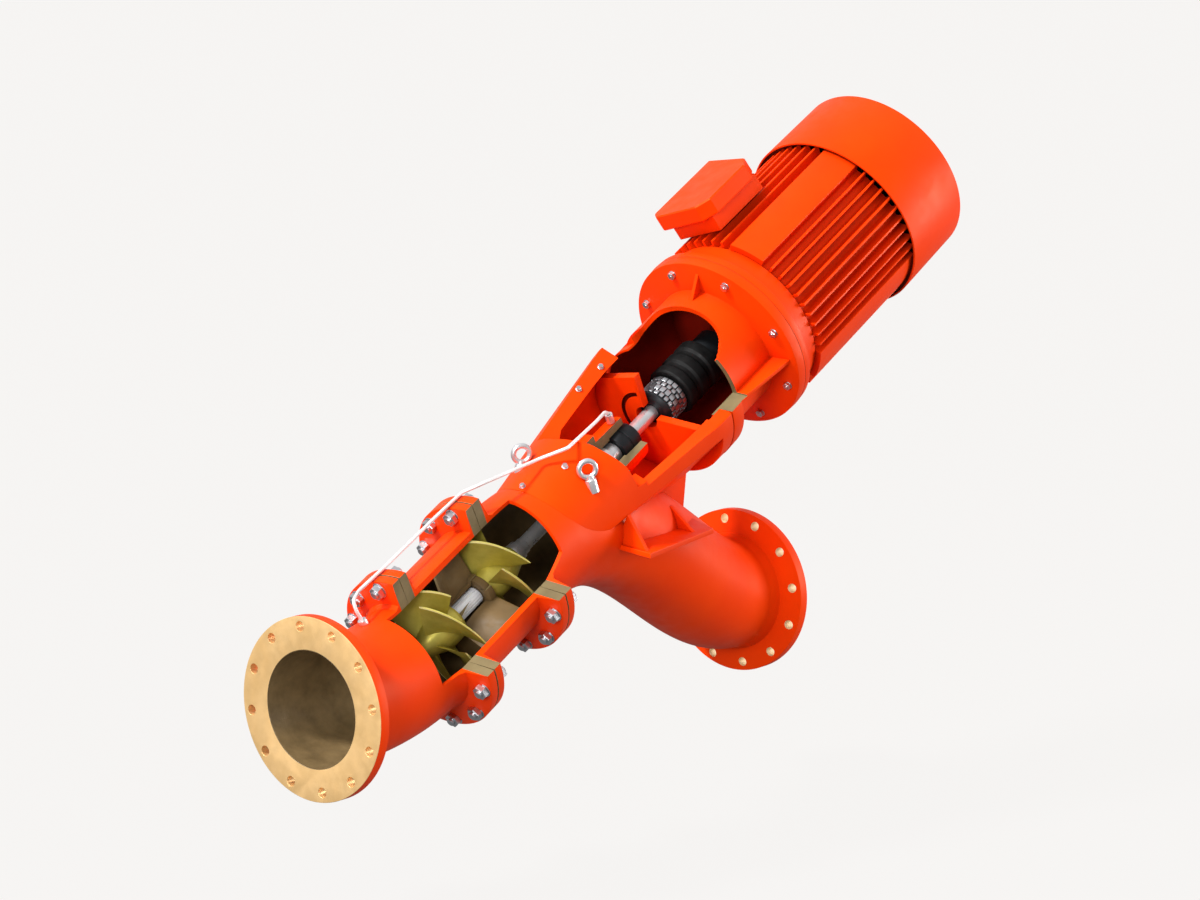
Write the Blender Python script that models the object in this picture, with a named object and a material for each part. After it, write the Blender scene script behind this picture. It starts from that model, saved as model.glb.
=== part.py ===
"""Two-stage propeller pump with inclined shaft, cut open over one quarter to show the wet end.

The pipe flanges lie on one horizontal line along +X. The shaft rises from that line at SHAFT_TILT.
Pieces round the shaft are written in the shaft's own frame: z runs along the shaft from the
point where its line meets the pipe line, x points up and away from it, y to the near side (-Y).
The world origin lies on the suction flange's face, below the bore, between two bolt holes.
"""

import math

import bmesh
import bpy
from mathutils import Matrix, Vector

MM = 0.001
GAP = 0.3
SEGMENTS = 40

SHAFT_TILT = math.radians(30.0)
PIPE_LINE_HEIGHT = 160.0
SHAFT_FOOT_X = 225.0

PIPE_BORE = 125.0
PIPE_OUTER = 134.0
PIPE_FLANGE_RADIUS = 197.5
PIPE_FLANGE_THICKNESS = 28.0
FACE_TO_FACE = 1488.0
BOLT_CIRCLE = 175.0
BOLT_HOLE = 11.0
BOLT_HOLES = 12

JOINT_ONE = 139.0
JOINT_TWO = 393.0
JOINT_FLANGE = 23.0
WINDOW_END = 508.0

FRAME_START = 535.0
FRAME_STEP = 1003.0
FRAME_END = 1045.0
FRAME_SLOPE = 0.1344
FRAME_START_RADIUS = 122.3
OPENING_ANGLE = math.radians(26.2)
OPENING_HEIGHT = 78.0
FLAT_SIDE_ANGLE = math.radians(135.6)
FLAT_SIDE_SHARE = 0.85
TRIM_ANGLE = math.radians(-44.4)
PLATE_FRONT = 962.0
PLATE_BACK = 981.0
LANTERN_TUBE = 150.0
LANTERN_BORE = 134.0
LANTERN_FOOT = 187.0
FOOT_BACK = 1088.0
LANTERN_FLANGE = 1249.0
RIB_THICK = 8.0
RIB_ROOT = LANTERN_TUBE - 6.0
DRY_QUARTER_START = 762.0
DRY_QUARTER_END = 1106.0
MOTOR_FACE = 1275.0
MOTOR_FLANGE_RADIUS = 227.0
FIN_START = 1352.0
BOX_TOP = 262.0
LID_TOP = 303.0
COWL_START = 1742.0
COWL_END = 1956.0
COWL_RADIUS = 231.0
FIN_TIP = 219.0
FIN_ROOT = 196.0
FINS = 48
PAD_GROOVES = [k for middle in (5, 18, 29, 42) for k in (middle - 1, middle, middle + 1)]
BOX_ANGLE = math.radians(-22.5)

SHAFT_RADIUS = 17.0
TIP_RADIUS = 119.5
BLADES = 5
BLADE_PITCH = 0.71
BLADE_LENGTH = 64.0
VANES = 6
VANE_TIP_RADIUS = 124.2
TUBE_RADIUS = 4.0
BRACKET_TOP = 248.0
BRACKET_THICK = 12.0

TO_SHAFT = Matrix(
    (
        (-math.sin(SHAFT_TILT), 0.0, math.cos(SHAFT_TILT), SHAFT_FOOT_X * MM),
        (0.0, -1.0, 0.0, 0.0),
        (math.cos(SHAFT_TILT), 0.0, math.sin(SHAFT_TILT), PIPE_LINE_HEIGHT * MM),
        (0.0, 0.0, 0.0, 1.0),
    )
)
TO_PIPE = Matrix.Translation((0.0, 0.0, PIPE_LINE_HEIGHT * MM))

# Each turns a prism drawn as (x, y) along z: FACE_ON draws (x, z) along -y, TOP_ON draws (y, z)
# along x, UPRIGHT draws (x, z) along -y in pipe coordinates and RADIAL points z along x.
FACE_ON = Matrix(((1, 0, 0, 0), (0, 0, -1, 0), (0, 1, 0, 0), (0, 0, 0, 1)))
TOP_ON = Matrix(((0, 0, 1, 0), (1, 0, 0, 0), (0, 1, 0, 0), (0, 0, 0, 1)))
UPRIGHT = FACE_ON
RADIAL = TOP_ON


def clear_scene():
    """Removes what the startup file put in the scene."""
    for obj in list(bpy.data.objects):
        bpy.data.objects.remove(obj)


def material(name, colour, metallic, roughness):
    """A plain Principled material."""
    made = bpy.data.materials.new(name)
    made.use_nodes = True
    shader = made.node_tree.nodes["Principled BSDF"]
    shader.inputs["Base Color"].default_value = (*colour, 1.0)
    shader.inputs["Metallic"].default_value = metallic
    shader.inputs["Roughness"].default_value = roughness
    return made


def new_object(name, mesh_builder, frame, finish=None):
    """An object from a bmesh given in millimetres, with its faces turned outwards."""
    bmesh.ops.recalc_face_normals(mesh_builder, faces=mesh_builder.faces)
    bmesh.ops.scale(mesh_builder, vec=(MM, MM, MM), verts=mesh_builder.verts)
    mesh = bpy.data.meshes.new(name)
    mesh_builder.to_mesh(mesh)
    mesh_builder.free()
    obj = bpy.data.objects.new(name, mesh)
    obj.matrix_world = frame
    bpy.context.scene.collection.objects.link(obj)
    if finish is not None:
        mesh.materials.append(finish)
        mesh.shade_smooth()
        mesh.set_sharp_from_angle(angle=math.radians(35))
    return obj


def as_cutter(obj):
    """Keeps a helper out of the render and shows it as wires."""
    obj.hide_render = True
    obj.display_type = "WIRE"
    return obj


def combine(obj, other, operation):
    """Adds an exact Boolean of the two objects to the first."""
    modifier = obj.modifiers.new(f"{operation}_{other.name}", "BOOLEAN")
    modifier.operation = operation
    modifier.solver = "EXACT"
    modifier.object = other


def add_loop_surface(builder, rings, closed_profile):
    """Joins rings of equally many points with quads, capping the ends of an open profile."""
    count = len(rings[0])
    pairs = list(zip(rings, rings[1:]))
    if closed_profile:
        pairs.append((rings[-1], rings[0]))
    for first, second in pairs:
        for i in range(count):
            j = (i + 1) % count
            builder.faces.new((first[i], first[j], second[j], second[i]))
    if not closed_profile:
        builder.faces.new(rings[0])
        builder.faces.new(rings[-1])


def straight(distance):
    """Centre and direction at a distance along the frame's own z axis."""
    return Vector((0.0, 0.0, distance)), Vector((0.0, 0.0, 1.0))


def turned(name, profile, frame, finish, path=straight, segments=SEGMENTS, hollow=True, side=None):
    """A body swept round a path: profile is (distance, radius) pairs, closed when hollow."""
    side = side or Vector((0.0, 1.0, 0.0))
    builder = bmesh.new()
    rings = []
    for distance, radius in profile:
        centre, direction = path(distance)
        other = direction.cross(side)
        ring = []
        for k in range(segments):
            angle = 2 * math.pi * (k + 0.5) / segments
            point = centre + radius * (math.cos(angle) * other + math.sin(angle) * side)
            ring.append(builder.verts.new(point))
        rings.append(ring)
    add_loop_surface(builder, rings, hollow)
    return new_object(name, builder, frame, finish)


def block(name, low, high, frame, finish=None):
    """A box between two corners."""
    builder = bmesh.new()
    bmesh.ops.create_cube(builder, size=1.0)
    for vert in builder.verts:
        for axis in range(3):
            vert.co[axis] = high[axis] if vert.co[axis] > 0 else low[axis]
    return new_object(name, builder, frame, finish)


def prism(name, outline, start, end, frame, finish=None):
    """An outline of (x, y) points drawn along z."""
    builder = bmesh.new()
    rings = [[builder.verts.new((x, y, z)) for x, y in outline] for z in (start, end)]
    add_loop_surface(builder, rings, False)
    return new_object(name, builder, frame, finish)


def bolt_hole_cutters(name, start, end, frame):
    """Twelve bolt hole drills round the pipe line in one object, straddling the vertical."""
    builder = bmesh.new()
    for k in range(BOLT_HOLES):
        angle = 2 * math.pi * (k + 0.5) / BOLT_HOLES
        y = BOLT_CIRCLE * math.sin(angle)
        z = BOLT_CIRCLE * math.cos(angle)
        rings = []
        for x in (start, end):
            turns = [2 * math.pi * i / 12 for i in range(12)]
            rings.append(
                [
                    builder.verts.new((x, y + BOLT_HOLE * math.cos(a), z + BOLT_HOLE * math.sin(a)))
                    for a in turns
                ]
            )
        add_loop_surface(builder, rings, False)
    return as_cutter(new_object(name, builder, frame))


class Path:
    """A straight lead-in, a smooth bend and a straight run-out, measured along the line."""

    def __init__(self, lead_start, bend_start, start_pull, bend_end, end_pull, run_end):
        start_direction = (bend_start - lead_start).normalized()
        end_direction = (run_end - bend_end).normalized()
        handles = (
            bend_start,
            bend_start + start_pull * start_direction,
            bend_end - end_pull * end_direction,
            bend_end,
        )
        self.points = [lead_start] + [bezier(handles, k / 60) for k in range(61)] + [run_end]
        self.lengths = [0.0]
        for first, second in zip(self.points, self.points[1:]):
            self.lengths.append(self.lengths[-1] + (second - first).length)
        self.bend_from = self.lengths[1]
        self.bend_to = self.lengths[-2]
        self.length = self.lengths[-1]

    def __call__(self, distance):
        """Centre and direction at a distance along the line."""
        return self.place(distance), (self.place(distance + 4) - self.place(distance - 4)).normalized()

    def place(self, distance):
        """Point at a distance along the line, also a little past its ends."""
        last = len(self.lengths) - 2
        index = 0
        while index < last and self.lengths[index + 1] < distance:
            index += 1
        part = (distance - self.lengths[index]) / (self.lengths[index + 1] - self.lengths[index])
        return self.points[index] + part * (self.points[index + 1] - self.points[index])


def bezier(handles, t):
    """Point on a cubic curve."""
    a, b, c, d = handles
    return (1 - t) ** 3 * a + 3 * t * (1 - t) ** 2 * b + 3 * t * t * (1 - t) * c + t**3 * d


def on_shaft(distance):
    """A point of the shaft's line in pipe coordinates."""
    return Vector(
        (
            SHAFT_FOOT_X + distance * math.cos(SHAFT_TILT),
            0.0,
            distance * math.sin(SHAFT_TILT),
        )
    )


def spread(start, end, count):
    """Evenly spaced values from start to end."""
    return [start + (end - start) * k / (count - 1) for k in range(count)]


def flanged_pipe_profile(path, bend_steps, first_flange, last_flange, outer, bore):
    """Profile of a pipe with a flange at each end, once along the outside and back through the bore."""
    bend = spread(path.bend_from, path.bend_to, bend_steps)
    profile = [(0.0, PIPE_FLANGE_RADIUS), (first_flange, PIPE_FLANGE_RADIUS), (first_flange, outer)]
    profile += [(s, outer) for s in bend if first_flange + 3 < s < path.length - last_flange - 3]
    profile += [(path.length - last_flange, outer), (path.length - last_flange, PIPE_FLANGE_RADIUS)]
    profile += [(path.length, PIPE_FLANGE_RADIUS), (path.length, bore)]
    profile += [(s, bore) for s in reversed(bend)]
    profile += [(0.0, bore)]
    return profile


def blade_grid(builder, inner, outer, stations, thick):
    """One twisted blade as a closed thin shell: stations is (distance along the shaft, angle) pairs."""
    radii = spread(inner, outer, 4)
    sides = []
    for side in (-0.5, 0.5):
        rows = []
        for radius in radii:
            row = []
            for distance, turn in stations:
                angle = turn + side * thick / radius
                row.append(
                    builder.verts.new((radius * math.cos(angle), radius * math.sin(angle), distance))
                )
            rows.append(row)
        sides.append(rows)
    low, high = sides
    last = len(stations) - 1
    for i in range(len(radii) - 1):
        for j in range(last):
            for rows in (low, high):
                builder.faces.new((rows[i][j], rows[i + 1][j], rows[i + 1][j + 1], rows[i][j + 1]))
    for i in range(len(radii) - 1):
        for j in (0, last):
            builder.faces.new((low[i][j], low[i + 1][j], high[i + 1][j], high[i][j]))
    for j in range(last):
        for i in (0, len(radii) - 1):
            builder.faces.new((low[i][j], low[i][j + 1], high[i][j + 1], high[i][j]))


def fin_form(name, count, inner, outer, stations, thick):
    """A Boolean form holding a ring of blades or vanes."""
    builder = bmesh.new()
    for k in range(count):
        turned_by = 2 * math.pi * k / count
        blade_grid(builder, inner, outer, [(z, angle + turned_by) for z, angle in stations], thick)
    return as_cutter(new_object(name, builder, TO_SHAFT))


def rod(name, points, radius, frame, finish, sides=10):
    """A round rod or tube bent through points, mitred at each bend."""
    builder = bmesh.new()
    points = [Vector(point) for point in points]
    rings = []
    side = Vector((0.3, 1.0, 0.2))
    for index, point in enumerate(points):
        before = (point - points[max(index - 1, 0)]).normalized()
        after = (points[min(index + 1, len(points) - 1)] - point).normalized()
        direction = (before + after).normalized()
        first = direction.cross(side).normalized()
        second = direction.cross(first)
        ring = []
        for k in range(sides):
            angle = 2 * math.pi * k / sides
            ring.append(
                builder.verts.new(point + radius * (math.cos(angle) * first + math.sin(angle) * second))
            )
        rings.append(ring)
    add_loop_surface(builder, rings, False)
    return new_object(name, builder, frame, finish)


def rounded_outline(corners):
    """Outline points of a polygon given as (x, y, corner radius)."""
    points = []
    for index, (x, y, radius) in enumerate(corners):
        corner = Vector((x, y))
        if radius == 0:
            points.append(corner)
            continue
        before = (Vector(corners[index - 1][:2]) - corner).normalized()
        after = (Vector(corners[(index + 1) % len(corners)][:2]) - corner).normalized()
        half = before.angle(after) / 2
        reach = radius / math.tan(half)
        centre = corner + (before + after).normalized() * radius / math.sin(half)
        start = corner + before * reach - centre
        end = corner + after * reach - centre
        for part in spread(0.0, 1.0, 6):
            points.append(centre + start.slerp(end, part))
    return points


def skin_radius(distance):
    """Outer radius of the bearing frame's cone."""
    return FRAME_START_RADIUS + FRAME_SLOPE * (distance - FRAME_START)


def eyebolt(name, distance, angle, skin, finish):
    """A lifting eye standing upright on the frame's skin."""
    radius = skin_radius(distance)
    seat = TO_SHAFT @ (
        Vector((radius * math.cos(angle), radius * math.sin(angle), distance)) * MM
    )
    frame = Matrix.Translation(seat)
    eye = turned(
        name, [(-24, 13), (6, 13), (8, 10), (16, 9)], frame, finish, segments=20, hollow=False
    )
    ring = bmesh.new()
    loops = []
    for k in range(20):
        turn = 2 * math.pi * k / 20
        outward = Vector((math.cos(turn), 0.0, math.sin(turn)))
        loop = []
        for i in range(8):
            around = 2 * math.pi * i / 8
            point = Vector((0, 0, 33)) + outward * (20 + 5.5 * math.cos(around))
            loop.append(ring.verts.new(point + Vector((0, 5.5 * math.sin(around), 0))))
        loops.append(loop)
    add_loop_surface(ring, loops, True)
    combine(eye, as_cutter(new_object(f"{name}_ring_form", ring, frame)), "UNION")
    combine(eye, skin, "DIFFERENCE")
    return eye


def bracket(name, side, skins, finish):
    """A level plate with two gussets on the elbow's side, near for side -1 and far for side 1."""
    plate = prism(
        name, [(828, side * 100), (828, side * 218), (1119, side * 172), (1160, side * 60)],
        BRACKET_TOP - BRACKET_THICK, BRACKET_TOP, TO_PIPE, finish,
    )
    low = BRACKET_TOP - BRACKET_THICK / 2
    for x, reach, apex_y, apex_z in ((840, 205, 137, 321), (1056, 172, 94, 293)):
        corners = [(reach, low), (apex_y, apex_z), (60, apex_z), (60, low)]
        gusset = prism(
            f"{name}_gusset_form_{x}", [(side * y, z) for y, z in corners], x - 6, x + 6,
            TO_PIPE @ TOP_ON,
        )
        combine(plate, as_cutter(gusset), "UNION")
    for skin in skins:
        combine(plate, skin, "DIFFERENCE")


def main():
    """Builds the pump."""
    clear_scene()
    paint = material("orange_paint", (1.0, 0.085, 0.005), 0.0, 0.35)
    bronze = material("impeller_bronze", (0.5, 0.4, 0.08), 0.9, 0.35)
    vane = material("guide_vane_bronze", (0.35, 0.22, 0.08), 0.4, 0.5)
    steel = material("bright_steel", (0.7, 0.7, 0.72), 1.0, 0.25)
    dark = material("dark_steel", (0.03, 0.035, 0.04), 0.6, 0.4)
    rubber = material("black_rubber", (0.01, 0.01, 0.012), 0.0, 0.6)

    # The wet window is drawn in the plane of the shaft and the vertical, then runs to the near side.
    wet_window = as_cutter(
        prism(
            "wet_window_cutter",
            rounded_outline([(0, 28, 14), (230, 85.5, 0), (230, WINDOW_END, 0), (0, WINDOW_END, 28)]),
            -230.0, 0.0, TO_SHAFT @ FACE_ON,
        )
    )
    dry_quarter = as_cutter(
        block("dry_quarter_cutter", (0, 0, DRY_QUARTER_START), (260, 260, DRY_QUARTER_END), TO_SHAFT)
    )
    frame_opening = as_cutter(
        prism(
            "frame_opening_cutter",
            [(-79, 691), (90, 735), (300, 735), (300, 1110), (-300, 1110), (-300, 691)],
            OPENING_HEIGHT, 300.0,
            TO_SHAFT @ Matrix.Rotation(OPENING_ANGLE, 4, "Z") @ TOP_ON,
        )
    )
    trim = as_cutter(
        block(
            "upper_left_trim_cutter", (100, -150, FRAME_STEP), (260, 150, 1100),
            TO_SHAFT @ Matrix.Rotation(TRIM_ANGLE, 4, "Z"),
        )
    )

    suction_path = Path(
        Vector((0, 0, 0)), Vector((1, 0, 0)), 60.0, on_shaft(JOINT_ONE - JOINT_FLANGE), 128.0,
        on_shaft(JOINT_ONE - GAP / 2),
    )
    suction = turned(
        "suction_bend",
        flanged_pipe_profile(
            suction_path, 10, PIPE_FLANGE_THICKNESS, JOINT_FLANGE, PIPE_OUTER, PIPE_BORE
        ),
        TO_PIPE, paint, suction_path,
    )
    combine(suction, bolt_hole_cutters("suction_hole_cutters", -5.0, 40.0, TO_PIPE), "DIFFERENCE")
    combine(suction, wet_window, "DIFFERENCE")

    casing = turned(
        "diffuser_casing",
        [
            (JOINT_ONE + GAP / 2, PIPE_FLANGE_RADIUS),
            (JOINT_ONE + JOINT_FLANGE, PIPE_FLANGE_RADIUS),
            (JOINT_ONE + JOINT_FLANGE, PIPE_OUTER),
            (JOINT_TWO - JOINT_FLANGE, PIPE_OUTER),
            (JOINT_TWO - JOINT_FLANGE, PIPE_FLANGE_RADIUS),
            (JOINT_TWO - GAP / 2, PIPE_FLANGE_RADIUS),
            (JOINT_TWO - GAP / 2, PIPE_BORE),
            (JOINT_ONE + GAP / 2, PIPE_BORE),
        ],
        TO_SHAFT, paint,
    )
    combine(casing, wet_window, "DIFFERENCE")

    vanes = turned(
        "guide_vanes", [(236, 41), (250, 45), (338, 45), (338, 40), (236, 38)], TO_SHAFT, vane,
        segments=32,
    )
    straight_angle = math.radians(-18.0)
    lean = [(236, 0.47), (248, 0.33), (262, 0.18), (276, 0.06), (290, 0.0), (338, 0.0)]
    combine(
        vanes,
        fin_form(
            "guide_vane_forms", VANES, 42, VANE_TIP_RADIUS,
            [(z, straight_angle + angle) for z, angle in lean], 6,
        ),
        "UNION",
    )
    combine(vanes, wet_window, "DIFFERENCE")
    turned(
        "interstage_bush", [(320, 39.2), (338, 39.2), (338, 32), (337, 17.8), (320, 17.8)],
        TO_SHAFT, vane, segments=32,
    )

    elbow_path = Path(
        on_shaft(JOINT_TWO + GAP / 2), on_shaft(JOINT_TWO + JOINT_FLANGE), 400.0,
        Vector((1432, 0, 0)), 208.0, Vector((FACE_TO_FACE, 0, 0)),
    )
    elbow = turned(
        "discharge_elbow",
        flanged_pipe_profile(
            elbow_path, 22, JOINT_FLANGE, PIPE_FLANGE_THICKNESS, PIPE_OUTER, PIPE_BORE
        ),
        TO_PIPE, paint, elbow_path,
    )
    elbow_stations = spread(elbow_path.bend_from, elbow_path.bend_to, 22)
    elbow_skin = as_cutter(
        turned(
            "elbow_skin_cutter", [(s, PIPE_OUTER + GAP) for s in elbow_stations],
            TO_PIPE, None, elbow_path, hollow=False,
        )
    )
    elbow_bore = as_cutter(
        turned(
            "elbow_bore_cutter",
            [(s, PIPE_BORE) for s in [-5.0] + elbow_stations + [elbow_path.length + 5.0]],
            TO_PIPE, None, elbow_path, hollow=False,
        )
    )
    boss = as_cutter(turned("seal_boss_form", [(640, 80), (790, 80)], TO_SHAFT, None, hollow=False))
    boss_bore = as_cutter(
        turned("seal_boss_bore_cutter", [(560, 33), (840, 33)], TO_SHAFT, None, hollow=False)
    )
    combine(elbow, boss, "UNION")
    combine(elbow, elbow_bore, "DIFFERENCE")
    combine(elbow, boss_bore, "DIFFERENCE")
    combine(
        elbow,
        bolt_hole_cutters("discharge_hole_cutters", FACE_TO_FACE - 40, FACE_TO_FACE + 5, TO_PIPE),
        "DIFFERENCE",
    )
    combine(elbow, wet_window, "DIFFERENCE")
    combine(elbow, dry_quarter, "DIFFERENCE")

    frame = turned(
        "bearing_frame",
        [
            (FRAME_START, FRAME_START_RADIUS), (981, skin_radius(981)), (FRAME_STEP, skin_radius(981)),
            (FRAME_END - GAP / 2, 186), (FRAME_END - GAP / 2, 151), (FRAME_STEP, 151),
            (FRAME_STEP, 144), (960, 144), (900, 140), (830, 133), (750, 125), (690, 100),
            (FRAME_START, 95),
        ],
        TO_SHAFT, paint,
    )
    flat_side = as_cutter(
        prism(
            "frame_flat_side_cutter",
            [
                (FLAT_SIDE_SHARE * skin_radius(500), 500), (300, 500), (300, FRAME_STEP),
                (FLAT_SIDE_SHARE * skin_radius(FRAME_STEP), FRAME_STEP),
            ],
            -200.0, 200.0, TO_SHAFT @ Matrix.Rotation(FLAT_SIDE_ANGLE, 4, "Z") @ FACE_ON,
        )
    )
    for cutter in (elbow_skin, frame_opening, flat_side, dry_quarter, trim):
        combine(frame, cutter, "DIFFERENCE")

    frame_skin = as_cutter(
        turned(
            "frame_skin_cutter",
            [
                (500, skin_radius(500) + GAP), (981, skin_radius(981) + GAP),
                (FRAME_STEP, skin_radius(981) + GAP), (FRAME_END, 186 + GAP), (1200, 190),
            ],
            TO_SHAFT, None, hollow=False,
        )
    )
    web = prism(
        "frame_web", [(1040, 200), (1217, 200), (1217, 380), (1150, 380), (1040, 340)], -8.0, 8.0,
        TO_PIPE @ UPRIGHT, paint,
    )
    combine(web, elbow_skin, "DIFFERENCE")
    combine(web, frame_skin, "DIFFERENCE")
    for name, side in (("elbow_bracket_near", -1), ("elbow_bracket_far", 1)):
        bracket(name, side, (elbow_skin, frame_skin), paint)

    plate = turned(
        "cross_plate",
        [
            (PLATE_FRONT, 143.5), (PLATE_BACK, 143.5), (PLATE_BACK, 28), (PLATE_FRONT, 28),
            (PLATE_FRONT, 62), (PLATE_FRONT + 10, 62), (PLATE_FRONT + 10, 70), (PLATE_FRONT, 70),
        ],
        TO_SHAFT, paint,
    )
    flat_top = as_cutter(
        block(
            "plate_top_cutter", (112, -150, 940), (200, 150, 1000),
            TO_SHAFT @ Matrix.Rotation(math.radians(-14.6), 4, "Z"),
        )
    )
    combine(plate, flat_top, "DIFFERENCE")
    combine(plate, dry_quarter, "DIFFERENCE")

    seal = turned(
        "seal_housing", [(790.3, 72), (888, 72), (888, 38), (832, 38), (832, 33), (790.3, 33)],
        TO_SHAFT, paint,
    )
    combine(seal, elbow_skin, "DIFFERENCE")
    combine(seal, dry_quarter, "DIFFERENCE")
    turned(
        "seal_gland", [(796, 32), (806, 32), (806, 25), (834, 25), (834, 18), (796, 18)],
        TO_SHAFT, steel, segments=32,
    )

    lantern = turned(
        "lantern",
        [
            (FRAME_END + GAP / 2, LANTERN_FOOT), (FOOT_BACK, LANTERN_FOOT), (FOOT_BACK, LANTERN_TUBE),
            (LANTERN_FLANGE, LANTERN_TUBE), (LANTERN_FLANGE, MOTOR_FLANGE_RADIUS),
            (MOTOR_FACE - GAP / 2, MOTOR_FLANGE_RADIUS), (MOTOR_FACE - GAP / 2, LANTERN_BORE),
            (1022, LANTERN_BORE), (1022, LANTERN_TUBE), (FRAME_END + GAP / 2, LANTERN_TUBE),
        ],
        TO_SHAFT, paint,
    )
    # A short rib stands over the arch. Full ones at the sides and below join the two flanges.
    short_rib = [(RIB_ROOT, 1196), (212, LANTERN_FLANGE + 6), (RIB_ROOT, LANTERN_FLANGE + 6)]
    long_rib = [
        (RIB_ROOT, FOOT_BACK - 6), (LANTERN_FOOT - 4, FOOT_BACK - 6), (210, LANTERN_FLANGE + 6),
        (RIB_ROOT, LANTERN_FLANGE + 6),
    ]
    for quarter, rib in enumerate((short_rib, long_rib, long_rib, long_rib)):
        rib_form = prism(
            f"lantern_rib_form_{quarter}", rib, -RIB_THICK / 2, RIB_THICK / 2,
            TO_SHAFT @ Matrix.Rotation(quarter * math.pi / 2, 4, "Z") @ FACE_ON,
        )
        combine(lantern, as_cutter(rib_form), "UNION")
    arch_turns = (-30, -22, -22, -29, -32, -20, -1, 14, 24, 35, 44, 54, 62)
    arch_stations = (1000, 1028, 1060, 1105, 1160, 1174, 1180, 1180, 1177, 1169, 1153, 1107, 1000)
    arch = bmesh.new()
    arch_rings = []
    for radius in (60.0, 420.0):
        arch_rings.append(
            [
                arch.verts.new(
                    (radius * math.cos(math.radians(turn)), radius * math.sin(math.radians(turn)), z)
                )
                for turn, z in zip(arch_turns, arch_stations)
            ]
        )
    add_loop_surface(arch, arch_rings, False)
    combine(lantern, as_cutter(new_object("lantern_arch_cutter", arch, TO_SHAFT)), "DIFFERENCE")
    combine(lantern, dry_quarter, "DIFFERENCE")
    lantern_trim = as_cutter(
        block(
            "lantern_trim_cutter", (LANTERN_TUBE, -150, 1030), (260, 150, 1100),
            TO_SHAFT @ Matrix.Rotation(TRIM_ANGLE, 4, "Z"),
        )
    )
    combine(lantern, lantern_trim, "DIFFERENCE")

    turned(
        "motor_end_shield",
        [
            (MOTOR_FACE + GAP / 2, MOTOR_FLANGE_RADIUS), (1297, MOTOR_FLANGE_RADIUS), (1297, 205),
            (FIN_START - GAP, 205), (FIN_START - GAP, 40), (MOTOR_FACE + GAP / 2, 40),
        ],
        TO_SHAFT, paint,
    )
    outline = []
    for k in range(FINS):
        groove = FIN_TIP if k in PAD_GROOVES else FIN_ROOT
        corners = ((-0.14, FIN_TIP), (0.14, FIN_TIP), (0.22, groove), (0.5, groove), (0.78, groove))
        for offset, radius in corners:
            angle = BOX_ANGLE + 2 * math.pi * (k + offset) / FINS
            outline.append((radius * math.cos(angle), radius * math.sin(angle)))
    prism("motor_frame", outline, FIN_START, COWL_START + 14, TO_SHAFT, paint)
    turned(
        "fan_cowl",
        [
            (COWL_START, COWL_RADIUS), (COWL_END - 14, COWL_RADIUS), (COWL_END, COWL_RADIUS - 14),
            (COWL_END, 40), (COWL_END - 4, 40), (COWL_END - 6, COWL_RADIUS - 18),
            (COWL_END - 18, COWL_RADIUS - 4), (COWL_START + 14, COWL_RADIUS - 4),
            (COWL_START + 14, FIN_TIP + 1), (COWL_START + 8, FIN_TIP + 1),
            (COWL_START + 8, COWL_RADIUS - 4), (COWL_START, COWL_RADIUS - 4),
        ],
        TO_SHAFT, paint,
    )

    to_box = TO_SHAFT @ Matrix.Rotation(BOX_ANGLE, 4, "Z")
    block("terminal_box", (FIN_TIP + GAP, -78, 1375), (BOX_TOP, 78, 1560), to_box, paint)
    prism(
        "terminal_box_lid",
        [
            (-98, 1383), (-68, 1353), (68, 1353), (98, 1383), (98, 1548), (68, 1578), (-68, 1578),
            (-98, 1548),
        ],
        BOX_TOP + GAP, LID_TOP, to_box @ TOP_ON, paint,
    )

    eyebolt("eyebolt_near", 646.0, math.radians(50.0), frame_skin, steel)
    eyebolt("eyebolt_far", 603.0, math.radians(-24.0), frame_skin, steel)

    rod(
        "flush_line",
        [
            (86, -10, 862), (98, -8, 852), (113, 9, 804), (163, 55, 657), (153, 3, 611),
            (177, -8, 532), (203, -12, 460), (197, -49, 417), (195, -55, 336), (194, -59, 158),
            (192, -66, 79), (198, -50, 44), (180, -42, 36), (150, -34, 36),
        ],
        TUBE_RADIUS, TO_SHAFT, steel,
    )
    turned(
        "flush_fitting", [(72.3, 9), (84, 9), (84, 4.3), (72.3, 4.3)],
        TO_SHAFT @ Matrix.Translation((0, -10 * MM, 862 * MM)) @ RADIAL, steel, segments=12,
    )
    clip = turned(
        "flush_clip", [(100, 10), (160, 10), (160, 4.3), (100, 4.3)],
        TO_SHAFT @ Matrix.Rotation(math.radians(-12.8), 4, "Z")
        @ Matrix.Translation((0, 0, 36 * MM)) @ RADIAL,
        steel, segments=12,
    )
    suction_stations = spread(suction_path.bend_from, suction_path.bend_to, 12)
    suction_skin = as_cutter(
        turned(
            "suction_skin_cutter", [(s, PIPE_OUTER + GAP) for s in suction_stations],
            TO_PIPE, None, suction_path, hollow=False,
        )
    )
    combine(clip, suction_skin, "DIFFERENCE")

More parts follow.
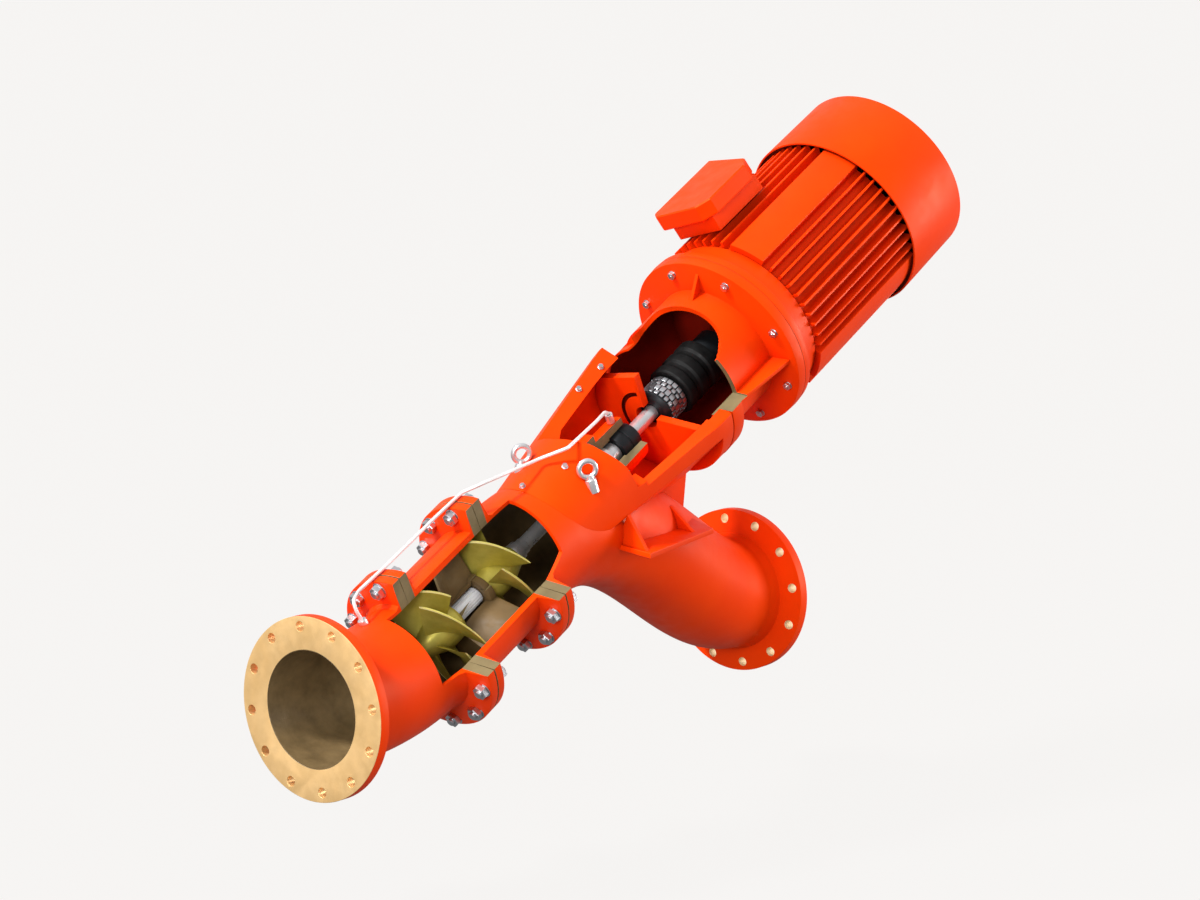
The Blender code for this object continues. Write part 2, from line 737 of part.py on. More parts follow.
    turned(
        "pump_shaft", [(150, SHAFT_RADIUS), (1056, SHAFT_RADIUS)], TO_SHAFT, steel,
        hollow=False, segments=24,
    )
    hubs = (
        (
            "impeller_first",
            [
                (117, 5), (120, 14), (130, 22), (153, 32), (172, 41), (195, 45), (226, 45), (234, 40),
            ],
            146.0, math.radians(10.0),
        ),
        (
            "impeller_second",
            [(340, 36), (350, 38), (365, 45), (405, 45), (425, 37), (450, 28)],
            342.0, math.radians(46.0),
        ),
    )
    for name, hub_profile, tip_start, tip_angle in hubs:
        impeller = turned(name, hub_profile, TO_SHAFT, bronze, segments=32, hollow=False)
        stations = [
            (tip_start + part * BLADE_LENGTH, tip_angle + math.radians(part * BLADE_LENGTH / BLADE_PITCH))
            for part in spread(0.0, 1.0, 7)
        ]
        combine(impeller, fin_form(f"{name}_blades", BLADES, 30, TIP_RADIUS, stations, 6), "UNION")
        bore_start = 149.5 if name == "impeller_first" else 330.0
        bore = as_cutter(
            turned(
                f"{name}_bore_cutter",
                [(bore_start, SHAFT_RADIUS + GAP), (470, SHAFT_RADIUS + GAP)],
                TO_SHAFT, None, hollow=False, segments=24,
            )
        )
        combine(impeller, bore, "DIFFERENCE")
    clearance = SHAFT_RADIUS + GAP
    collars = (
        ("spacer_sleeve", [(234.3, 20), (319, 20)], steel),
        ("impeller_nut", [(450.3, 26), (474, 24), (474, 19), (492, 19)], steel),
        ("shaft_collar", [(835, 36), (897, 36)], dark),
        ("coupling_hub_pump", [(985, 38), (994, 48), (1056, 48)], dark),
    )
    for name, outer, finish in collars:
        turned(
            name, outer + [(outer[-1][0], clearance), (outer[0][0], clearance)],
            TO_SHAFT, finish, segments=32,
        )
    turned(
        "coupling_element",
        [
            (1056.3, 58), (1062, 62), (1084, 62), (1088, 55), (1100, 55), (1104, 62), (1130, 62),
            (1134, 55), (1146, 55), (1150, 62), (1180, 62), (1180, 27), (1056.3, 27),
        ],
        TO_SHAFT, rubber, segments=32,
    )
    turned(
        "coupling_hub_motor",
        [(1180.3, 48), (1240, 48), (1240, 24.3), (1180.3, 24.3)],
        TO_SHAFT, dark, segments=32,
    )
    turned(
        "motor_shaft", [(1150, 24), (FIN_START - 1, 24)], TO_SHAFT, steel,
        hollow=False, segments=24,
    )


main()
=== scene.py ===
"""Looks of a propeller pump with an inclined shaft, cut open over one quarter.

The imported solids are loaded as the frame. Each sub-assembly is a class that builds finer pieces in
the same places, gives them their finishes and puts them on the frame's bodies. Sizes are in
millimetres and turn into metres where a mesh is made. Shaft coordinates have x up from the shaft,
y to the near side and z along the shaft. Pipe coordinates have x along the pipe line and z up.
"""

import logging
import math
from dataclasses import dataclass
from enum import Enum, IntEnum
from typing import Callable, ClassVar, NamedTuple, Optional, Sequence

import bmesh
import bpy
from mathutils import Matrix, Vector


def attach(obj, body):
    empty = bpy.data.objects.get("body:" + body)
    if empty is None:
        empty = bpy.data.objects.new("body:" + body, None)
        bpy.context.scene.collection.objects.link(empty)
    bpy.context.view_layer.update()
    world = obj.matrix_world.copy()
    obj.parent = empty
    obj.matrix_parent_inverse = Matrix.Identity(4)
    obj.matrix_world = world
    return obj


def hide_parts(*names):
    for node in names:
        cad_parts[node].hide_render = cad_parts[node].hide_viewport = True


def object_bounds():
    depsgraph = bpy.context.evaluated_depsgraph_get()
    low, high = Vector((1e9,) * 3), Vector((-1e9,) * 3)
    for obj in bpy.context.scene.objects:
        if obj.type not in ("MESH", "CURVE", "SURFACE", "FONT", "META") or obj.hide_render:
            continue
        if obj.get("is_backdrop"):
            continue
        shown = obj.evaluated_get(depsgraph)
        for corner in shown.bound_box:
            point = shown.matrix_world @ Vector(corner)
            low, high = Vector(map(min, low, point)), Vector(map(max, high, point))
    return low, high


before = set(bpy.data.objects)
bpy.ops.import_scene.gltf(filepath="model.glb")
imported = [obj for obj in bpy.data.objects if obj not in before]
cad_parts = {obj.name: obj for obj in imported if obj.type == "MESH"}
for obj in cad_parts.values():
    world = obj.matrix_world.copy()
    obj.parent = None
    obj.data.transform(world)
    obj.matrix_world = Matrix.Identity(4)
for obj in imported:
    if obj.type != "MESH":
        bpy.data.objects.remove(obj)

LOG = logging.getLogger("pump")
MM = 0.001
SHARP = math.radians(30.0)

TILT = math.radians(30.0)
PIPE_HEIGHT = 160.0
SHAFT_FOOT = 225.0
SHAFT_RADIUS = 17.0
SUCTION_JOINT = 139.0
CASING_JOINT = 393.0
JOINT_FLANGE = 23.0
PIPE_BORE = 125.0
PIPE_OUTER = 134.0
FLANGE_RADIUS = 197.5
FLANGE_THICKNESS = 28.0
BOLT_CIRCLE = 175.0
BOLTS = 12
FACE_TO_FACE = 1488.0
CONE_START = 535.0
CONE_RADIUS = 122.3
CONE_TAPER = 0.1344
OPENING_ANGLE = 26.2
OPENING_HEIGHT = 78.0
PLATE_BACK = 981.0
FRAME_STEP = 1003.0
FRAME_END = 1045.0
LANTERN_FLANGE = 1249.0
MOTOR_FACE = 1275.0
HALF_GAP = 0.15
GAP = 0.3
LARGE, MEDIUM, SMALL = 144, 64, 48

Colour = tuple[float, float, float]
Corners = Sequence[tuple]
Material = bpy.types.Material
Object = bpy.types.Object
Place = Callable[[float], tuple[Vector, Vector]]
Socket = bpy.types.NodeSocket


class Zone(IntEnum):
    """Which finish of its piece a face takes."""

    SKIN = 0
    SECTION = 1
    BORE = 2
    FACED = 3
    DRILLED = 4


class Body(Enum):
    """The frame's bodies."""

    FIXED = "pump_body"
    ROTOR = "rotor"


class Slot(Enum):
    """The record's material slots."""

    PAINT = "orange_paint"
    BRONZE = "impeller_bronze"
    VANE = "guide_vane_bronze"
    STEEL = "bright_steel"
    DARK = "dark_steel"
    RUBBER = "black_rubber"


SHAFT = Matrix(
    (
        (-math.sin(TILT), 0.0, math.cos(TILT), SHAFT_FOOT * MM),
        (0.0, -1.0, 0.0, 0.0),
        (math.cos(TILT), 0.0, math.sin(TILT), PIPE_HEIGHT * MM),
        (0.0, 0.0, 0.0, 1.0),
    )
) @ Matrix.Scale(MM, 4)
PIPE = Matrix.Translation((0.0, 0.0, PIPE_HEIGHT * MM)) @ Matrix.Scale(MM, 4)
# FACE_ON draws (x, z) along -y, TOP_ON draws (y, z) along x.
FACE_ON = Matrix(((1, 0, 0, 0), (0, 0, -1, 0), (0, 1, 0, 0), (0, 0, 0, 1)))
TOP_ON = Matrix(((0, 0, 1, 0), (1, 0, 0, 0), (0, 1, 0, 0), (0, 0, 0, 1)))
SHAFT_AXIS = (math.cos(TILT), 0.0, math.sin(TILT))
SHAFT_POINT = (SHAFT_FOOT * MM, 0.0, PIPE_HEIGHT * MM)


def about_z(degrees: float) -> Matrix:
    """A turn about the z axis."""
    return Matrix.Rotation(math.radians(degrees), 4, "Z")


def about_shaft(degrees: float) -> Matrix:
    """Shaft coordinates turned about the shaft, from straight up towards the near side."""
    return SHAFT @ about_z(degrees)


def spread(start: float, end: float, count: int) -> list[float]:
    """Evenly spaced values from start to end."""
    return [start + (end - start) * k / (count - 1) for k in range(count)]


def polar(radius: float, angle: float, distance: float = 0.0) -> Vector:
    """The point at a radius and an angle about the z axis, at a distance along it."""
    return Vector((radius * math.cos(angle), radius * math.sin(angle), distance))


def circle(radius: float, count: int) -> list[Vector]:
    """Evenly spaced points round the z axis."""
    return [polar(radius, 2 * math.pi * k / count) for k in range(count)]


def along_z(distance: float) -> tuple[Vector, Vector]:
    """Centre and direction at a distance along the z axis."""
    return Vector((0.0, 0.0, distance)), Vector((0.0, 0.0, 1.0))


def on_shaft(distance: float) -> Vector:
    """A point of the shaft's line in pipe coordinates."""
    return Vector((SHAFT_FOOT + distance * math.cos(TILT), 0.0, distance * math.sin(TILT)))


def skin_radius(distance: float) -> float:
    """Outer radius of the bearing frame's cone."""
    return CONE_RADIUS + CONE_TAPER * (distance - CONE_START)


def put_in_scene(name: str, data: bpy.types.ID) -> Object:
    """Makes an object of some data and links it to the scene.

    Args:
        name: the object's name.
        data: its mesh, light or camera.

    Returns:
        The object.
    """
    obj = bpy.data.objects.new(name, data)
    bpy.context.scene.collection.objects.link(obj)
    return obj


def fill_ramp(ramp: bpy.types.ColorRamp, stops: Sequence[tuple[float, Colour]]) -> None:
    """Gives a colour ramp its stops.

    Args:
        ramp: a new ramp.
        stops: (position, colour) pairs in order.
    """
    while len(ramp.elements) < len(stops):
        ramp.elements.new(1.0)
    for element, (position, colour) in zip(ramp.elements, stops):
        element.position = position
        element.color = (*colour, 1.0)


# Finishes


class Recipe:
    """A material under construction: short calls that add and join shader nodes."""

    def __init__(self, name: str) -> None:
        """Starts a material with an empty Principled shader.

        Args:
            name: the material's name.
        """
        self.material = bpy.data.materials.new(name)
        self.material.use_nodes = True
        self.tree = self.material.node_tree
        self.shader = self.tree.nodes["Principled BSDF"]
        self.place = self.tree.nodes.new("ShaderNodeTexCoord").outputs["Object"]

    def put(self, target: Socket, value: "Socket | float | Sequence[float]") -> None:
        """Joins a socket to an input, or sets the input's own value.

        Args:
            target: the input.
            value: the socket or the value.
        """
        if isinstance(value, Socket):
            self.tree.links.new(value, target)
        else:
            target.default_value = value

    def node(
        self, kind: str, *inputs: "Socket | float | Vector", operation: str = "",
        **named: "Socket | float",
    ) -> bpy.types.Node:
        """Adds a node.

        Args:
            kind: its type without the common prefix.
            inputs: sockets or values of its first inputs.
            operation: its operation, where it has one.
            named: sockets or values by the input's name.

        Returns:
            The node.
        """
        node = self.tree.nodes.new(f"ShaderNode{kind}")
        if operation:
            node.operation = operation
        for target, value in zip(node.inputs, inputs):
            self.put(target, value)
        for name, value in named.items():
            self.put(node.inputs[name], value)
        return node

    def noise(self, scale: float, detail: float = 3.0, rough: float = 0.55) -> Socket:
        """Factor of a noise with a scale in features per metre."""
        node = self.node("TexNoise", Scale=scale, Detail=detail, Roughness=rough, Vector=self.place)
        return node.outputs["Fac"]

    def ramp(self, factor: Socket, stops: Sequence[tuple[float, Colour]]) -> Socket:
        """Colour of a ramp with the given stops.

        Args:
            factor: what the ramp is read at.
            stops: (position, colour) pairs in order.

        Returns:
            The colour's socket.
        """
        node = self.node("ValToRGB", Fac=factor)
        fill_ramp(node.color_ramp, stops)
        return node.outputs["Color"]

    def grey_ramp(
        self, factor: Socket, low: float, high: float, start: float = 0.3, end: float = 0.7
    ) -> Socket:
        """A ramp between two grey values over the middle of the factor."""
        return self.ramp(factor, ((start, (low, low, low)), (end, (high, high, high))))

    def mix(self, factor: Socket, first: Socket, second: Colour) -> Socket:
        """A colour mixed towards a fixed second colour.

        Args:
            factor: share of the second colour.
            first: the first colour.
            second: the second colour.

        Returns:
            The mixed colour's socket.
        """
        node = self.tree.nodes.new("ShaderNodeMix")
        node.data_type = "RGBA"
        self.put(node.inputs["Factor"], factor)
        self.put(node.inputs[6], first)
        self.put(node.inputs[7], (*second, 1.0))
        return node.outputs[2]

    def rings(self, centre: Colour, axis: Colour, spacing: float) -> Socket:
        """Height of fine turning rings about an axis.

        Args:
            centre: a point of the axis in metres.
            axis: the axis's direction.
            spacing: millimetres from ring to ring.

        Returns:
            The height's socket.
        """
        arm = self.node("VectorMath", self.place, centre, operation="SUBTRACT").outputs[0]
        cross = self.node("VectorMath", arm, axis, operation="CROSS_PRODUCT").outputs[0]
        length = self.node("VectorMath", cross, operation="LENGTH").outputs["Value"]
        turns = 2 * math.pi / (spacing * MM)
        scaled = self.node("Math", length, turns, operation="MULTIPLY").outputs[0]
        return self.node("Math", scaled, operation="SINE").outputs[0]

    def bump(
        self, height: Socket, distance: float, strength: float, before: Optional[Socket] = None
    ) -> Socket:
        """Normal bumped by a height.

        Args:
            height: the height's socket.
            distance: millimetres from the lowest to the highest point.
            strength: share of the bump.
            before: a normal that was bumped before.

        Returns:
            The normal's socket.
        """
        node = self.node("Bump", Strength=strength, Distance=distance * MM, Height=height)
        if before is not None:
            self.put(node.inputs["Normal"], before)
        return node.outputs["Normal"]

    def painted_shade(self, reach: float) -> Socket:
        """How open a point is, from 0 in a corner to 1 in the open, for painting shade into corners.

        Args:
            reach: how far neighbours count, in millimetres.

        Returns:
            The factor's socket.
        """
        node = self.node("AmbientOcclusion", Distance=reach * MM)
        node.samples = 8
        return node.outputs["AO"]

    def dress(self, **values: "Socket | float | Sequence[float]") -> Material:
        """Joins sockets to the shader's inputs or sets their own values.

        Args:
            values: sockets or values by the input's name, with underscores for spaces.

        Returns:
            The material.
        """
        for name, value in values.items():
            self.put(self.shader.inputs[name.replace("_", " ")], value)
        return self.material


@dataclass(frozen=True)
class Enamel:
    """Semi-gloss paint sprayed on a casting: faint colour drift, cast waviness, orange peel and
    painted shade in corners.
    """

    name: str = "orange_enamel"
    light: Colour = (1.0, 0.056, 0.001)
    deep: Colour = (0.95, 0.045, 0.001)
    painted_shade_colour: Colour = (0.45, 0.01, 0.0)
    roughness: float = 0.42
    waviness: float = 0.25
    peel: float = 0.03
    sheen: tuple[float, ...] = (1.0, 0.42, 0.12, 1.0)

    def material(self) -> Material:
        """Makes the finish.

        Returns:
            The material.
        """
        recipe, rough = Recipe(self.name), self.roughness
        drift = recipe.ramp(recipe.noise(7.0, 4.0), ((0.3, self.deep), (0.7, self.light)))
        # Painted shade: ambient occlusion darkens the colour towards a deep red in corners and
        # recesses.
        corners = recipe.grey_ramp(recipe.painted_shade(55.0), 0.85, 0.0, 0.2, 0.85)
        waves = recipe.bump(recipe.noise(60.0, 2.0), self.waviness, 0.6)
        return recipe.dress(
            Base_Color=recipe.mix(corners, drift, self.painted_shade_colour),
            Roughness=recipe.grey_ramp(recipe.noise(25.0, 5.0), rough - 0.06, rough + 0.1),
            Normal=recipe.bump(recipe.noise(900.0, 2.0), self.peel, 0.5, waves),
            Specular_IOR_Level=0.22, Specular_Tint=self.sheen,
        )


@dataclass(frozen=True)
class Machined:
    """Turned or milled bronze-coloured metal: rings about an axis, stains and a dull sheen."""

    name: str
    light: Colour
    deep: Colour
    centre: Colour = (0.0, 0.0, PIPE_HEIGHT * MM)
    axis: Colour = (1.0, 0.0, 0.0)
    spacing: float = 1.6
    metallic: float = 0.55
    roughness: float = 0.42
    ring_depth: float = 0.03

    def material(self) -> Material:
        """Makes the finish.

        Returns:
            The material.
        """
        recipe, rough = Recipe(self.name), self.roughness
        rings = recipe.rings(self.centre, self.axis, self.spacing)
        grain = recipe.bump(recipe.noise(700.0, 3.0), 0.05, 0.4)
        return recipe.dress(
            Base_Color=recipe.ramp(
                recipe.noise(16.0, 5.0, 0.6), ((0.32, self.deep), (0.68, self.light))
            ),
            Roughness=recipe.grey_ramp(recipe.noise(40.0, 4.0), rough - 0.08, rough + 0.12),
            Normal=recipe.bump(rings, self.ring_depth, 0.5, grain),
            Metallic=self.metallic,
        )


@dataclass(frozen=True)
class CastMetal:
    """Cast metal with a sand-cast grain and painted shade that darkens its hollows."""

    name: str
    light: Colour
    deep: Colour
    metallic: float
    roughness: float
    grain: float
    # hollow: share of the deep tone kept in the painted shade of corners.
    hollow: float

    def material(self) -> Material:
        """Makes the finish.

        Returns:
            The material.
        """
        recipe, rough = Recipe(self.name), self.roughness
        tone = recipe.ramp(recipe.noise(24.0, 6.0, 0.6), ((0.3, self.deep), (0.7, self.light)))
        # Painted shade: the deep tone times hollow is mixed in where ambient occlusion finds
        # corners.
        red, green, blue = (channel * self.hollow for channel in self.deep)
        shade = recipe.grey_ramp(recipe.painted_shade(22.0), 0.8, 0.0, 0.2, 0.8)
        return recipe.dress(
            Base_Color=recipe.mix(shade, tone, (red, green, blue)),
            Roughness=recipe.grey_ramp(recipe.noise(60.0, 5.0), rough - 0.1, rough + 0.14),
            Normal=recipe.bump(recipe.noise(420.0, 4.0, 0.65), self.grain, 0.5),
            Metallic=self.metallic,
        )


@dataclass(frozen=True)
class PlainMetal:
    """Drawn or ground steel with a fine grain and slightly worn patches."""

    name: str
    colour: Colour
    metallic: float
    roughness: float
    grain: float
    wear: float = 0.86

    def material(self) -> Material:
        """Makes the finish.

        Returns:
            The material.
        """
        recipe, rough = Recipe(self.name), self.roughness
        red, green, blue = (channel * self.wear for channel in self.colour)
        stops = ((0.3, (red, green, blue)), (0.65, self.colour))
        return recipe.dress(
            Base_Color=recipe.ramp(recipe.noise(40.0), stops),
            Roughness=recipe.grey_ramp(recipe.noise(90.0), rough, rough + 0.1),
            Normal=recipe.bump(recipe.noise(300.0, 2.0), self.grain, 0.2),
            Metallic=self.metallic,
        )


@dataclass(frozen=True)
class Rubber:
    """Moulded black rubber with a bloom and a fine pebbled skin."""

    name: str = "moulded_rubber"
    colour: Colour = (0.003, 0.003, 0.003)
    bloom: Colour = (0.008, 0.008, 0.008)

    def material(self) -> Material:
        """Makes the finish.

        Returns:
            The material.
        """
        recipe = Recipe(self.name)
        return recipe.dress(
            Base_Color=recipe.ramp(
                recipe.noise(50.0, 4.0), ((0.35, self.colour), (0.75, self.bloom))
            ),
            Roughness=recipe.grey_ramp(recipe.noise(120.0), 0.42, 0.6),
            Normal=recipe.bump(recipe.noise(1400.0, 2.0), 0.04, 0.5),
            Specular_IOR_Level=0.2,
        )


class Palette:
    """Every finish of the pump, made once."""

    def __init__(self) -> None:
        """Builds the materials."""
        self.enamel = Enamel().material()
        self.flange_face = Machined(
            "machined_flange_face", (0.92, 0.6, 0.27), (0.78, 0.49, 0.2)
        ).material()
        self.section = Machined(
            "cut_section", (0.24, 0.18, 0.08), (0.17, 0.125, 0.055), SHAFT_POINT, SHAFT_AXIS,
            2.4, 0.2, 0.55, 0.02,
        ).material()
        self.bore = CastMetal(
            "wetted_bore", (0.27, 0.18, 0.08), (0.16, 0.105, 0.045), 0.2, 0.42, 0.1, 0.5
        ).material()
        self.impeller = CastMetal(
            "impeller_bronze_cast", (0.62, 0.53, 0.1), (0.44, 0.37, 0.055), 0.5, 0.38, 0.008, 0.45
        ).material()
        # Machined blade tips, painted near-white yellow as a painted highlight along the blade
        # edges.
        self.tip = CastMetal(
            "blade_tip_painted_highlight", (1.0, 0.97, 0.42), (0.96, 0.9, 0.34), 0.0, 0.35, 0.01, 0.95
        ).material()
        self.sleeve = PlainMetal("brushed_sleeve", (0.95, 0.96, 1.0), 0.3, 0.3, 0.004).material()
        self.pipe = PlainMetal("bright_thin_pipe", (0.86, 0.83, 0.82), 0.3, 0.4, 0.001).material()
        self.vane = CastMetal(
            "guide_vane_cast", (0.16, 0.095, 0.032), (0.115, 0.068, 0.022), 0.0, 0.6, 0.06, 0.5
        ).material()
        self.steel = PlainMetal("ground_steel", (0.8, 0.8, 0.82), 0.8, 0.26, 0.0006).material()
        self.zinc = PlainMetal("zinc_plated_steel", (0.66, 0.67, 0.7), 1.0, 0.28, 0.03).material()
        self.dark = PlainMetal("blackened_steel", (0.014, 0.017, 0.02), 0.5, 0.4, 0.04).material()
        self.rubber = Rubber().material()
        # Painted shade: a dark red enamel for insides, grooves and rim faces that lie in shade.
        self.shade = Enamel(
            "painted_shade_enamel", (0.26, 0.009, 0.003), (0.18, 0.006, 0.002), (0.05, 0.003, 0.002), 0.5
        ).material()
        # Bare drilled walls, painted pale as painted light for the brightness seen through the
        # holes.
        self.hole = CastMetal(
            "drilled_hole_painted_light", (1.0, 0.8, 0.5), (0.95, 0.74, 0.45), 0.0, 0.6, 0.02, 0.9
        ).material()

    def painted(self) -> list[Material]:
        """Finishes of a painted casting by zone."""
        return [self.enamel, self.section, self.bore, self.flange_face, self.hole]

    def plain(self, material: Material) -> list[Material]:
        """One finish for every zone."""
        return [material] * len(Zone)


# Forms


class Station(NamedTuple):
    """A corner of a profile, with its rounding and the zone of the face after it."""

    distance: float
    radius: float
    fillet: float = 0.0
    zone: Zone = Zone.SKIN


class Form:
    """A mesh in millimetres under construction, whose faces carry zones."""

    def __init__(self) -> None:
        """Starts empty."""
        self.mesh = bmesh.new()

    def loft(
        self, rings: Sequence[Sequence[Vector]], zones: Optional[Sequence[int]] = None,
        closed: bool = False, cap_zone: int = Zone.SKIN,
    ) -> "Form":
        """Joins rings of equally many points with quads.

        Args:
            rings: the rings of points in order.
            zones: the zone of the faces after each ring, else all are skin.
            closed: True where the last ring joins the first, else the ends are capped.
            cap_zone: the zone of the caps.

        Returns:
            This form.
        """
        zones = zones or [Zone.SKIN] * len(rings)
        made = [[self.mesh.verts.new(point) for point in ring] for ring in rings]
        pairs = list(zip(made, made[1:], zones))
        if closed:
            pairs.append((made[-1], made[0], zones[len(made) - 1]))
        for first, second, zone in pairs:
            for i in range(len(first)):
                j = (i + 1) % len(first)
                face = self.mesh.faces.new((first[i], first[j], second[j], second[i]))
                face.material_index = zone
        if not closed:
            for ring in (made[0], made[-1]):
                self.mesh.faces.new(ring).material_index = cap_zone
        return self

    def turn(
        self, profile: Corners, path: Place = along_z, segments: int = 96, hollow: bool = True
    ) -> "Form":
        """Sweeps a profile round a line that lies in the xz plane.

        Args:
            profile: the corners in order, as a Station's fields, closed when hollow.
            path: centre and direction at a distance along the line.
            segments: sides of the turned form.
            hollow: False for a solid with capped ends.

        Returns:
            This form.
        """
        points, zones = round_profile(profile, hollow)
        side = Vector((0.0, 1.0, 0.0))
        rings = []
        for distance, radius in points:
            centre, direction = path(distance)
            other = direction.cross(side)
            ring = []
            for k in range(segments):
                angle = 2 * math.pi * (k + 0.5) / segments
                ring.append(centre + radius * (math.cos(angle) * other + math.sin(angle) * side))
            rings.append(ring)
        return self.loft(rings, zones, hollow)

    def prism(
        self, outline: Sequence[Sequence[float]], start: float, end: float, bevel: float = 0.0,
        place: Matrix = Matrix.Identity(4),
    ) -> "Form":
        """Draws an outline along z.

        Args:
            outline: its points, of which x and y count.
            start: where it starts.
            end: where it ends.
            bevel: chamfer of its two rims.
            place: where it goes.

        Returns:
            This form.
        """
        flat = [Vector((point[0], point[1])) for point in outline]
        middle = sum(flat, Vector((0.0, 0.0))) / len(flat)
        steps = [(start, 0.0), (end, 0.0)]
        if bevel > 0:
            steps = [(start, bevel), (start + bevel, 0.0), (end - bevel, 0.0), (end, bevel)]
        rings = []
        for height, inset in steps:
            short = [point - (point - middle).normalized() * inset for point in flat]
            rings.append([place @ Vector((point.x, point.y, height)) for point in short])
        return self.loft(rings)

    def box(
        self, low: Sequence[float], high: Sequence[float], bevel: float = 0.0,
        place: Matrix = Matrix.Identity(4),
    ) -> "Form":
        """A block between two corners."""
        outline = [(low[0], low[1]), (high[0], low[1]), (high[0], high[1]), (low[0], high[1])]
        return self.prism(outline, low[2], high[2], bevel, place)

    def tube(self, points: Sequence[Vector], radius: float, sides: int) -> "Form":
        """A round rod through points.

        Args:
            points: its middle line.
            radius: its radius.
            sides: its number of sides.

        Returns:
            This form.
        """
        rings = []
        for index, point in enumerate(points):
            before = (point - points[max(index - 1, 0)]).normalized()
            after = (points[min(index + 1, len(points) - 1)] - point).normalized()
            direction = (before + after).normalized()
            first = direction.cross(Vector((0.3, 1.0, 0.2))).normalized()
            second = direction.cross(first)
            rings.append([point + p.x * first + p.y * second for p in circle(radius, sides)])
        return self.loft(rings)

    def finish(self, name: str, place: Matrix, finishes: Sequence[Optional[Material]]) -> Object:
        """Turns the form into an object in the row frame.

        Args:
            name: the piece's name.
            place: matrix from millimetres here to metres there.
            finishes: one material for each zone.

        Returns:
            The object, its place in its mesh.
        """
        bmesh.ops.recalc_face_normals(self.mesh, faces=self.mesh.faces)
        bmesh.ops.transform(self.mesh, matrix=place, verts=self.mesh.verts)
        data = bpy.data.meshes.new(name)
        self.mesh.to_mesh(data)
        self.mesh.free()
        for finish in finishes:
            data.materials.append(finish)
        smooth(data)
        return put_in_scene(name, data)


def smooth(mesh: bpy.types.Mesh) -> None:
    """Shades a mesh smooth with sharp edges above an angle."""
    mesh.shade_smooth()
    mesh.set_sharp_from_angle(angle=SHARP)


def round_profile(
    profile: Corners, closed: bool, steps: int = 4
) -> tuple[list[tuple[float, float]], list[int]]:
    """Rounds a profile's corners.

    Args:
        profile: the corners in order, as a Station's fields.
        closed: True where the last corner joins the first.
        steps: points on each rounded corner.

    Returns:
        The (distance, radius) points and the zone of the face after each.
    """
    stations = [Station(*corner) for corner in profile]
    points: list[tuple[float, float]] = []
    zones: list[int] = []
    for index, corner in enumerate(stations):
        here = Vector((corner.distance, corner.radius))
        at_end = not closed and index in (0, len(stations) - 1)
        if corner.fillet <= 0 or at_end:
            points.append((here.x, here.y))
            zones.append(corner.zone)
            continue
        behind, ahead = stations[index - 1], stations[(index + 1) % len(stations)]
        before = (Vector((behind.distance, behind.radius)) - here).normalized()
        after = (Vector((ahead.distance, ahead.radius)) - here).normalized()
        half = before.angle(after) / 2
        reach = corner.fillet / math.tan(half)
        centre = here + (before + after).normalized() * corner.fillet / math.sin(half)
        start, end = here + before * reach - centre, here + after * reach - centre
        for step, part in enumerate(spread(0.0, 1.0, steps)):
            point = centre + start.slerp(end, part)
            points.append((point.x, point.y))
            zones.append(corner.zone if step == steps - 1 else behind.zone)
    return points, zones


def carve(obj: Object, tools: Sequence[Object], union: bool = False) -> None:
    """Cuts tools from an object, or joins them to it, and leaves a plain mesh.

    Args:
        obj: the object to change.
        tools: the forms to cut or join, which are removed afterwards.
        union: True to join them.
    """
    for each in tools:
        modifier = obj.modifiers.new(each.name, "BOOLEAN")
        modifier.operation = "UNION" if union else "DIFFERENCE"
        modifier.solver = "EXACT"
        modifier.object = each
    graph = bpy.context.evaluated_depsgraph_get()
    made = bpy.data.meshes.new_from_object(obj.evaluated_get(graph))
    obj.modifiers.clear()
    old, obj.data = obj.data, made
    bpy.data.meshes.remove(old)
    smooth(made)
    for each in tools:
        bpy.data.objects.remove(each)


def settle(obj: Object, body: Body, nodes: Sequence[str] = ()) -> None:
    """Puts a piece on its body and reports it.

    Args:
        obj: the piece.
        body: the body it rides on.
        nodes: the nodes it stands for.
    """
    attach(obj, body.value)
    if nodes:
        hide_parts(*nodes)
    LOG.info("%s: %d faces on %s", obj.name, len(obj.data.polygons), body.value)


# Pipe lines and cutting tools


